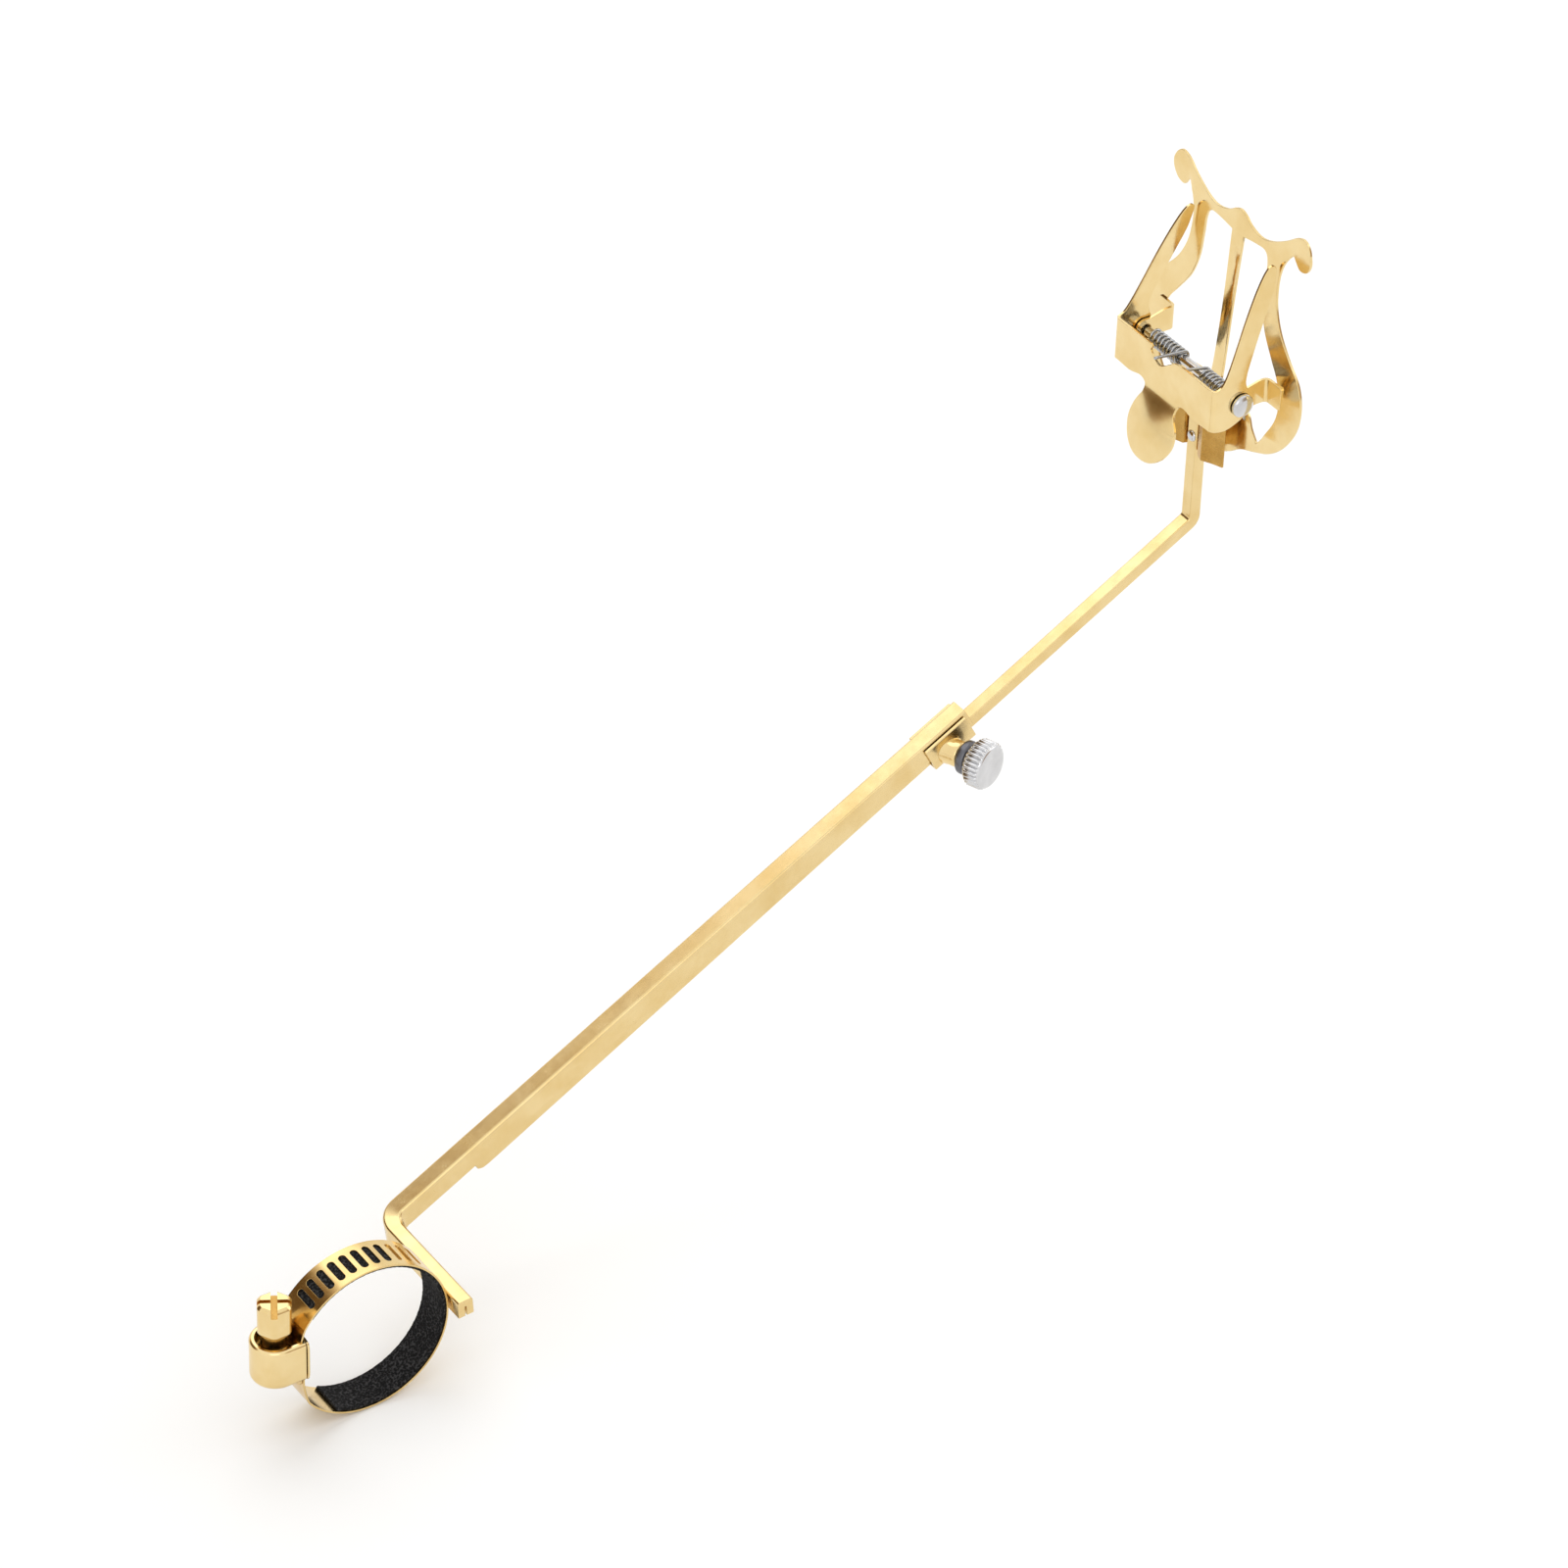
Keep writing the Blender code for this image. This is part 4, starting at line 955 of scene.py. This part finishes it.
SCREW_AT = arm_point(0, SCREW_ALONG, SCREW_N)
WALL = CH_W / 2 + COLLAR_GAP + COLLAR_T
foot_of = lambda d: (WALL + 0.02 - d.x) / SCREW_AXIS.x
bm_piece(
    "threaded_boss",
    hollow(
        [(None, 2.15), (None, BOSS_R + 0.25), (4.9, BOSS_R), (6.7, BOSS_R), (7.1, BOSS_R - 0.2), (7.3, BOSS_R - 0.55), (7.3, 2.15)],
        SCREW_AT,
        SCREW_AXIS,
        64,
        foot_of,
    ),
    GOLD,
    ARM,
    ("threaded_boss",),
    smooth=50,
)
bm_piece(
    "screw_washer",
    hollow(
        [(7.6, 2.0), (7.6, 3.7), (7.7, 3.95), (8.0, 4.22), (8.3, 4.3), (9.3, 4.3), (9.6, 4.22), (9.9, 3.95), (10.0, 3.7), (10.0, 2.0)],
        SCREW_AT,
        SCREW_AXIS,
        64,
    ),
    WASHER,
    WASH,
    ("screw_washer",),
    smooth=50,
)


def thumb_screw():
    """Knurled head: straight rounded ridges between two eased rims, slightly dished face."""
    ridges, per = 30, 10
    h0, h1 = HEAD_FROM, HEAD_FROM + HEAD_H
    rows = [
        (h0, 1.8, 0),
        (h0, HEAD_R - 1.9, 0),
        (h0 + 0.25, HEAD_R - 1.2, 0),
        (h0 + 0.7, HEAD_R - 0.75, 0),
        (h0 + 0.9, HEAD_R - 0.55, 0.45),
        (h0 + 1.15, HEAD_R - 0.2, 1),
        (h0 + 1.4, HEAD_R, 1),
        (h1 - 1.2, HEAD_R, 1),
        (h1 - 0.95, HEAD_R - 0.15, 1),
        (h1 - 0.75, HEAD_R - 0.45, 0.4),
        (h1 - 0.6, HEAD_R - 0.6, 0),
        (h1 - 0.25, HEAD_R - 0.8, 0),
        (h1 - 0.05, HEAD_R - 1.15, 0),
        (h1, HEAD_R - 1.6, 0),
        (h1 - 0.02, HEAD_R - 2.6, 0),
        (h1 - 0.12, 1.2, 0),
        (h1 - 0.14, 0.3, 0),
    ]

    def radius(a, r, i):
        deep = rows[i][2]
        wave = 0.5 + 0.5 * math.cos(a * ridges)
        return r - 0.62 * deep * (1 - wave**0.55)

    bm = turned([(h, r) for h, r, _ in rows], SCREW_AT, SCREW_AXIS, ridges * per, radius)
    bm_piece("thumb_screw_head", bm, CHROME, KNOB, smooth=40)
    rows2 = [(2.9, 1.1), (3.05, 1.35)]
    h = 3.2
    while h < h0 - 0.3:
        rows2.append((h, None))
        h += 0.0875
    rows2 += [(h0 - 0.25, 1.7), (h0 + 0.2, 1.7)]

    def thread(a, r, i):
        if rows2[i][1] is not None:
            return rows2[i][1]
        phase = (rows2[i][0] / 0.7 - a / (2 * math.pi)) % 1.0
        return 1.47 + 0.23 * (1 - abs(2 * phase - 1))

    bm = turned([(h, r or 1.6) for h, r in rows2], SCREW_AT, SCREW_AXIS, 40, thread)
    bm_piece("thumb_screw_shank", bm, CHROME, KNOB, ("thumb_screw",), smooth=60)


thumb_screw()


# ============================ sliding rod ====================================
ROD_START = arm_point(0, ROD_FROM, ROD_LOW) + ROD_N * (ROD_T / 2)
ROD_CORNER = ROD_START + ROD_D * ((LYRE0.y - ROD_START.y) / ROD_D.y)


def rod():
    up = Vector((0, 0, 1))
    turn = math.acos(ROD_D.dot(up))
    back = ROD_BEND_R * math.tan(turn / 2)
    frames = []
    p0 = ROD_CORNER - ROD_D * back
    reach = (p0 - ROD_START).length
    for s in (0.0, 1.2, 3.0, 40.0, 80.0, 120.0, 160.0, 200.0, reach - 6.0):
        frames.append((ROD_START + ROD_D * s, AX, ROD_N, ROD_D))
    centre = p0 + ROD_N * ROD_BEND_R
    steps = 20
    for k in range(steps + 1):
        m = Matrix.Rotation(turn * k / steps, 3, AX)
        n = m @ ROD_N
        frames.append((centre - n * ROD_BEND_R, AX, n, m @ ROD_D))
    n = Matrix.Rotation(turn, 3, AX) @ ROD_N
    for z in (10.0, 20.0, STEM_TOP):
        frames.append((Vector((LYRE0.x, ROD_CORNER.y, LYRE0.z + z)), AX, n, up))
    sections = []
    for i in range(len(frames)):
        w, h = ROD_W, ROD_T
        if i == 0:
            w, h = w * 0.80, h * 0.72
        if i == 1:
            w, h = w * 0.95, h * 0.94
        sections.append(flat_bar(w, h, 0.55 * min(w, h) / ROD_T, 5))
    shell_piece("sliding_rod", swept(sections, frames, 0.3), GOLD_ARM, LYRE, ("sliding_rod",))


rod()

# ============================ lyre ===========================================
RIVET_Z = (22.0, 30.0)


def thickened(points, t):
    left, right = [], []
    for i, p in enumerate(points):
        p = Vector(p)
        before = (p - Vector(points[i - 1])).normalized() if i else None
        after = (Vector(points[i + 1]) - p).normalized() if i + 1 < len(points) else None
        a, b = before or after, after or before
        na, nb = Vector((-a.y, a.x)), Vector((-b.y, b.x))
        off = (na + nb) * (t / 2) / (1 + na.dot(nb))
        left.append((p.x + off.x, p.y + off.y))
        right.append((p.x - off.x, p.y - off.y))
    return left + right[::-1]


def socket():
    half = [(10.8, 0.1), (8.0, -1.0), (5.4, -2.4), (3.2, -1.6), (2.6, 0.0), (2.6, 2.3)]
    line = half + [(-x, y) for x, y in reversed(half)]
    section = rounded(thickened(line, 0.7), 0.3, 4)
    frames = [
        (L(0, 0, z), Vector((1, 0, 0)), Vector((0, 1, 0)), Vector((0, 0, 1)))
        for z in (18.3, 22.0, 28.0, 33.0)
    ]
    # the base bracket is drawn in the darker gold as painted shade
    shell_piece("base_bracket", swept([section] * 4, frames, 0.14), GOLD_SHADE_PAINTED, LYRE, ("base_bracket",))


socket()


def smooth_step(x):
    x = min(1.0, max(0.0, x))
    return x * x * (3 - 2 * x)


def rear_y(z):
    return 3.5 + smooth_step((z - 31.0) / 9.0) * 1.5 + max(0.0, z - 39.0) * 0.077


RIGHT_OUTER = [
    (0.0, 82.6),
    (2.2, 81.9),
    (4.6, 80.4),
    (8.7, 79.5),
    (12.9, 80.6),
    (17.6, 83.2),
    (21.4, 85.9),
    (24.4, 86.4),
    (26.6, 84.2),
    (27.0, 81.0),
    (25.4, 78.2),
    (22.8, 77.6),
    (21.2, 79.4),
    (20.3, 80.2),
    (18.3, 77.4),
    (17.2, 74.0),
    (17.0, 70.0),
    (17.8, 65.0),
    (20.4, 59.6),
    (25.0, 54.4),
    (29.6, 50.0),
    (31.6, 44.6),
    (31.2, 38.4),
    (28.4, 32.6),
    (23.6, 28.4),
    (18.0, 25.8),
    (13.0, 23.8),
    (9.0, 21.0),
    (5.0, 18.9),
    (0.0, 18.2),
]
RIGHT_WINDOW = [
    (2.3, 76.2),
    (7.0, 76.9),
    (10.6, 76.9),
    (12.0, 74.6),
    (12.2, 69.5),
    (12.6, 63.5),
    (14.6, 57.4),
    (18.6, 51.6),
    (21.6, 47.6),
    (23.4, 43.0),
    (23.2, 37.0),
    (20.6, 31.4),
    (18.6, 28.6),
    (16.6, 31.0),
    (14.2, 34.4),
    (9.0, 36.2),
    (2.1, 36.8),
    (1.9, 48.0),
    (1.9, 60.0),
]


def rear_place(u, v, w):
    y = rear_y(v)
    # the scroll under each horn curls back, the middle bar is pressed a little hollow
    tip = smooth_step((abs(u) - 18.5) / 2.5) * smooth_step((v - 75.0) / 3.0)
    y += 0.16 * tip * max(0.0, 83.0 - v)
    bar = max(0.0, 1.0 - (u / 2.1) ** 2)
    y += 0.30 * bar * smooth_step((v - 40.0) / 6.0) * smooth_step((74.0 - v) / 6.0)
    h = 1e-2
    slope = (rear_y(v + h) - rear_y(v - h)) / (2 * h)
    n = Vector((0, 1, -slope)).normalized()
    return L(u, y + w * n.y, v + w * n.z)


def rear_lyre():
    outer = corner_loop(mirror_loop(RIGHT_OUTER), 5)
    right = corner_loop(RIGHT_WINDOW, 5, sharp=(0, 12, 16))
    left = [(-x, z) for x, z in reversed(right)]
    holes = [right, left] + [circle_2d((0, z), 1.25, 24) for z in RIVET_Z]
    cuts_u = [s * x for x in (0.5, 1.0, 1.5, 2.0, 18.0, 19.0, 20.0, 21.0, 22.0, 24.0) for s in (1, -1)] + [0.0]
    cuts_v = [31 + k for k in range(10)] + [44 + 4 * k for k in range(8)] + [75, 76, 77, 78, 80, 82, 83]
    shell = pressed(outer, holes, cuts_u, cuts_v, SHEET, rear_place, ease=0.16)
    shell_piece("rear_lyre", shell, GOLD, LYRE, ("rear_lyre",))


rear_lyre()


def rear_ear(side, word):
    """Tab folded forward from the S arm to the pin."""
    t, r = 0.8, 1.3
    y_root = rear_y(43.6) - 0.28
    face = R_EAR_X
    mid = r
    u_fold = 4.6
    arc = mid * math.pi / 2
    reach = y_root - r - PIN_Y

    def place(u, v, w):
        if u < u_fold:
            return L(side * (face + r + (u_fold - u)), y_root + w, v)
        if u < u_fold + arc:
            a = (u - u_fold) / mid
            return L(side * (face + r - (r + w) * math.sin(a)), y_root - r + (r + w) * math.cos(a), v)
        return L(side * (face - w), y_root - r - (u - u_fold - arc), v)

    end = u_fold + arc + reach
    z0, z1, rr = 40.4, 46.8, 2.9
    outline = [(0.4, z0), (u_fold + arc + 1.5, z0), (end - 1.2, PIN_Z - rr + 0.2)]
    outline += [
        (end + rr * math.sin(math.radians(a)), PIN_Z - rr * math.cos(math.radians(a)))
        for a in range(10, 171, 10)
    ]
    outline += [(end - 1.2, PIN_Z + rr - 0.1), (u_fold + arc + 1.5, z1), (0.4, z1), (0.0, z1 - 0.6), (0.0, z0 + 0.6)]
    cuts = [u_fold + arc * k / 10 for k in range(11)]
    shell = pressed(outline, [circle_2d((end, PIN_Z), PIN_R + 0.3, 28)], cuts, (), t, place, ease=0.12)
    shell_piece("rear_ear_" + word, shell, GOLD, LYRE)


rear_ear(1, "right")
rear_ear(-1, "left")

# ---- front clip -------------------------------------------------------------
FOLD_U = F_HALF - F_FOLD_R
MID_R = F_FOLD_R - SHEET / 2
FOLD_LEN = MID_R * math.pi / 2


def ear_u(y):
    return FOLD_U + FOLD_LEN + (y - (F_Y + F_FOLD_R))


def clip_flare(v, u):
    d = max(0.0, 37.4 - v)
    d = d * d / (d + 1.6)
    cup = 0.028 * u * u * smooth_step(d / 6.0) * 0.6
    return 6.6 * (1 - math.exp(-d / 9.0)) - cup


def lean(v):
    d = max(0.0, v - 49.0)
    return 0.135 * d * d / (d + 1.5)


def clip_place(u, v, w):
    s = 1 if u >= 0 else -1
    a = abs(u)
    if a <= FOLD_U:
        h = 1e-2
        slope = (clip_flare(v + h, u) - clip_flare(v - h, u)) / (2 * h)
        k = 1 / math.hypot(1, slope)
        return L(u, F_Y + SHEET / 2 - clip_flare(v, u) - w * k, v - w * slope * k)
    if a <= FOLD_U + FOLD_LEN:
        ang = (a - FOLD_U) / MID_R
        r = MID_R + w
        return L(s * (FOLD_U + r * math.sin(ang)), F_Y + F_FOLD_R - r * math.cos(ang), v)
    y = F_Y + F_FOLD_R + (a - FOLD_U - FOLD_LEN)
    return L(s * (F_HALF - SHEET / 2 + w - lean(v)), y, v)


CLIP_HALF = [
    (0.0, 20.6),
    (3.8, 21.3),
    (6.9, 23.6),
    (8.7, 27.2),
    (8.5, 30.6),
    (7.3, 33.2),
    (6.3, 35.2),
    (6.8, 37.2),
    (8.9, 37.9),
    (13.0, 37.0),
    (FOLD_U, 37.2),
    (ear_u(-8.0), 36.6),
    (ear_u(-4.5), 37.6),
    (ear_u(-1.6), 39.6),
    (ear_u(-0.6), 42.6),
    (ear_u(-1.4), 45.6),
    (ear_u(-2.3), 49.6),
    (ear_u(0.2), 56.6),
    (ear_u(3.2), 63.6),
    (ear_u(5.6), 69.2),
    (ear_u(6.5), 73.0),
    (ear_u(6.7), 75.6),
    (ear_u(5.3), 76.4),
    (ear_u(3.4), 74.8),
    (ear_u(0.7), 70.4),
    (ear_u(-2.4), 64.0),
    (ear_u(-5.4), 57.0),
    (ear_u(-8.0), 51.4),
    (ear_u(-9.9), 49.0),
    (FOLD_U - 0.5, 48.6),
    (12.0, 48.7),
    (5.0, 48.5),
]


def front_clip():
    left = [(-x, z) for x, z in reversed(CLIP_HALF) if x > 1e-6]
    notch = [(2.2, 46.8), (-1.6, 44.6), (-5.2, 46.7)]
    outer = corner_loop(CLIP_HALF + notch + left, 5)
    holes = [circle_2d((s * ear_u(PIN_Y), PIN_Z), PIN_R + 0.3, 30) for s in (1, -1)]
    cuts = [FOLD_U + FOLD_LEN * k / 10 for k in range(11)]
    cuts = [-c for c in reversed(cuts)] + [float(k) for k in range(-9, 10)] + cuts
    cuts_v = [21 + 0.8 * k for k in range(22)] + [49.0, 50, 51, 52.5, 54, 57, 62, 68]
    shell = pressed(outer, holes, cuts, cuts_v, SHEET, clip_place, ease=0.16)
    shell_piece("front_clip", shell, GOLD, CLIP, ("front_clip",))


front_clip()

# ---- rivets, pin, springs ---------------------------------------------------
for name, z in (("stem_rivet_lower", RIVET_Z[0]), ("stem_rivet_upper", RIVET_Z[1])):
    y_front = ROD_CORNER.y - LYRE0.y - ROD_T / 2 - 0.02
    y_back = rear_y(z) + SHEET / 2 + 0.02
    profile = [(y_front - 0.75, 0.25), (y_front - 0.68, 0.7), (y_front - 0.5, 1.1), (y_front - 0.2, 1.42)]
    profile += [(y_front, 1.5), (y_front, 0.95), (y_back, 0.95), (y_back, 1.85), (y_back + 0.3, 1.78)]
    profile += [(y_back + 0.6, 1.5), (y_back + 0.85, 1.0), (y_back + 0.93, 0.4)]
    bm_piece(name, turned(profile, L(0, 0, z), (0, 1, 0), 40), CHROME, LYRE, (name,), smooth=50)

EAR_OUT = F_HALF + 0.3
profile = [(-22.2, 0.5), (-22.15, 0.85), (-22.0, 1.1), (-21.8, PIN_R), (EAR_OUT, PIN_R), (EAR_OUT, 2.9)]
profile += [(EAR_OUT + 0.1, 3.0), (EAR_OUT + 0.4, 3.0)]
profile += [
    (EAR_OUT + 0.4 + 1.2 * math.sin(math.radians(a)), 3.0 * math.cos(math.radians(a)) ** 0.8 + 0.02)
    for a in (12, 24, 36, 48, 60, 72, 82, 89)
]
bm_piece("hinge_pin", turned(profile, L(0, PIN_Y, PIN_Z), (1, 0, 0), 48), CHROME, LYRE, ("hinge_pin",), smooth=40)
bm_piece(
    "pin_end_cap",
    hollow(
        [(EAR_OUT, PIN_R + 0.03), (EAR_OUT, 2.4), (EAR_OUT + 0.1, 2.5), (EAR_OUT + 0.7, 2.5), (EAR_OUT + 1.1, 2.3), (EAR_OUT + 1.4, 1.8), (EAR_OUT + 1.5, PIN_R + 0.03)],
        L(0, PIN_Y, PIN_Z),
        (-1, 0, 0),
        48,
    ),
    GOLD,
    LYRE,
    ("pin_end_cap",),
    smooth=50,
)

COIL_R, WIRE_R = 1.85, 0.40


def spring_points(x_out, x_in, turns, per_turn):
    """A leg up from the rear lyre's foot, the coil round the pin, a leg to the plate."""
    start, stop = math.radians(40), math.radians(81 + 360 * turns)
    n = int(per_turn * turns)
    leg_end = Vector((x_out, 2.4, 33.6))
    first = Vector((x_out, PIN_Y + COIL_R * math.cos(start), PIN_Z + COIL_R * math.sin(start)))
    pts = [leg_end.lerp(first, k / 6) for k in range(6)]
    for k in range(n + 1):
        f = k / n
        a = start + (stop - start) * f
        pts.append(
            Vector((x_out + (x_in - x_out) * f, PIN_Y + COIL_R * math.cos(a), PIN_Z + COIL_R * math.sin(a)))
        )
    last = pts[-1]
    if x_in < 0:
        tip = Vector((last.x + 0.6, -12.35, 46.1))
    else:
        tip = Vector((last.x - 0.6, -10.4, 45.9))
    pts += [last.lerp(tip, k / 6) for k in range(1, 7)]
    return [L(*p) for p in pts]


wire_piece("left_spring", spring_points(-14.6, -3.4, 8, 30), WIRE_R, 12, STEEL, LYRE, ("left_spring",))
wire_piece("right_spring", spring_points(14.6, 5.0, 7, 30), WIRE_R, 12, STEEL, LYRE, ("right_spring",))


# ============================ floor, light, camera ===========================
def floor():
    mat, tree, bsdf = nodes_of("pale_floor")
    tone = noise(tree, 6, 3, 0.5)
    link(tree, ramp(tree, tone, [(0.3, (0.90, 0.90, 0.895)), (0.7, (0.93, 0.93, 0.925))]), bsdf.inputs["Base Color"])
    bsdf.inputs["Roughness"].default_value = 0.75
    bsdf.inputs["Specular IOR Level"].default_value = 0.15
    bpy.ops.mesh.primitive_plane_add(size=12, location=(0, 0.2, -0.0228))
    plane = bpy.context.object
    plane.name = "floor"
    plane.data.materials.append(mat)


floor()


def area(name, location, target, size, power, colour=(1, 1, 1), size_y=None):
    data = bpy.data.lights.new(name, "AREA")
    data.energy, data.size, data.color = power, size, colour
    if size_y:
        data.shape, data.size_y = "RECTANGLE", size_y
    obj = bpy.data.objects.new(name, data)
    bpy.context.scene.collection.objects.link(obj)
    obj.location = location
    obj.rotation_euler = (Vector(target) - Vector(location)).to_track_quat("-Z", "Y").to_euler()
    return obj


MID = Vector((-0.015, 0.14, 0.08))
area("key", (-0.9, 0.3, 1.6), MID, 1.5, 5.5)
area("fill", (1.5, -0.9, 1.1), MID, 1.2, 3.5)
area("back", (0.2, 1.8, 1.0), MID, 1.2, 3)


def world():
    """Bright studio surround with a darker band low on the left, so that polished
    sides have something to reflect."""
    w = bpy.data.worlds.new("studio")
    bpy.context.scene.world = w
    w.use_nodes = True
    tree = w.node_tree
    bg = tree.nodes["Background"]
    coord = tree.nodes.new("ShaderNodeTexCoord").outputs["Generated"]

    def lobe(direction, inner, outer):
        dot = tree.nodes.new("ShaderNodeVectorMath")
        dot.operation = "DOT_PRODUCT"
        link(tree, coord, dot.inputs[0])
        dot.inputs[1].default_value = Vector(direction).normalized()
        m = tree.nodes.new("ShaderNodeMapRange")
        m.interpolation_type = "SMOOTHSTEP"
        m.inputs["From Min"].default_value = math.cos(math.radians(outer))
        m.inputs["From Max"].default_value = math.cos(math.radians(inner))
        link(tree, dot.outputs["Value"], m.inputs["Value"])
        return m.outputs["Result"]

    def math_node(op, a, b):
        m = tree.nodes.new("ShaderNodeMath")
        m.operation = op
        for i, x in enumerate((a, b)):
            if isinstance(x, (int, float)):
                m.inputs[i].default_value = x
            else:
                link(tree, x, m.inputs[i])
        return m.outputs["Value"]

    dark = math_node("MULTIPLY", lobe((-0.72, -0.62, 0.36), 12, 34), 0.86)
    dark2 = math_node("MULTIPLY", lobe((0.75, 0.55, 0.25), 10, 30), 0.55)
    level = math_node("MULTIPLY", math_node("SUBTRACT", 1.0, dark), math_node("SUBTRACT", 1.0, dark2))
    link(tree, math_node("MULTIPLY", level, 1.06), bg.inputs["Strength"])
    warm = ramp(tree, level, [(0.1, (1.0, 0.60, 0.24)), (0.95, (1, 1, 1))])
    link(tree, warm, bg.inputs["Color"])


world()

AZ, EL, ROLL = math.radians(55.2), math.radians(36.3), math.radians(2.1)
back = Vector((math.sin(AZ) * math.cos(EL), -math.cos(AZ) * math.cos(EL), math.sin(EL)))
r0 = Vector((math.cos(AZ), math.sin(AZ), 0))
u0 = back.cross(r0)
right = r0 * math.cos(ROLL) + u0 * math.sin(ROLL)
up = u0 * math.cos(ROLL) - r0 * math.sin(ROLL)
cam_data = bpy.data.cameras.new("camera")
cam_data.sensor_width = 36.0
cam_data.sensor_fit = "HORIZONTAL"
cam_data.lens = 6979.3 / 1600 * 36.0
cam_data.clip_start, cam_data.clip_end = 0.05, 20
cam = bpy.data.objects.new("camera", cam_data)
bpy.context.scene.collection.objects.link(cam)
cam.matrix_world = Matrix.Translation(W(back * 1600 + right * 99.1 + up * 127.0)) @ Matrix(
    (right, up, back)
).transposed().to_4x4()
bpy.context.scene.camera = cam
bpy.context.scene.view_settings.view_transform = "Standard"

bpy.context.view_layer.update()
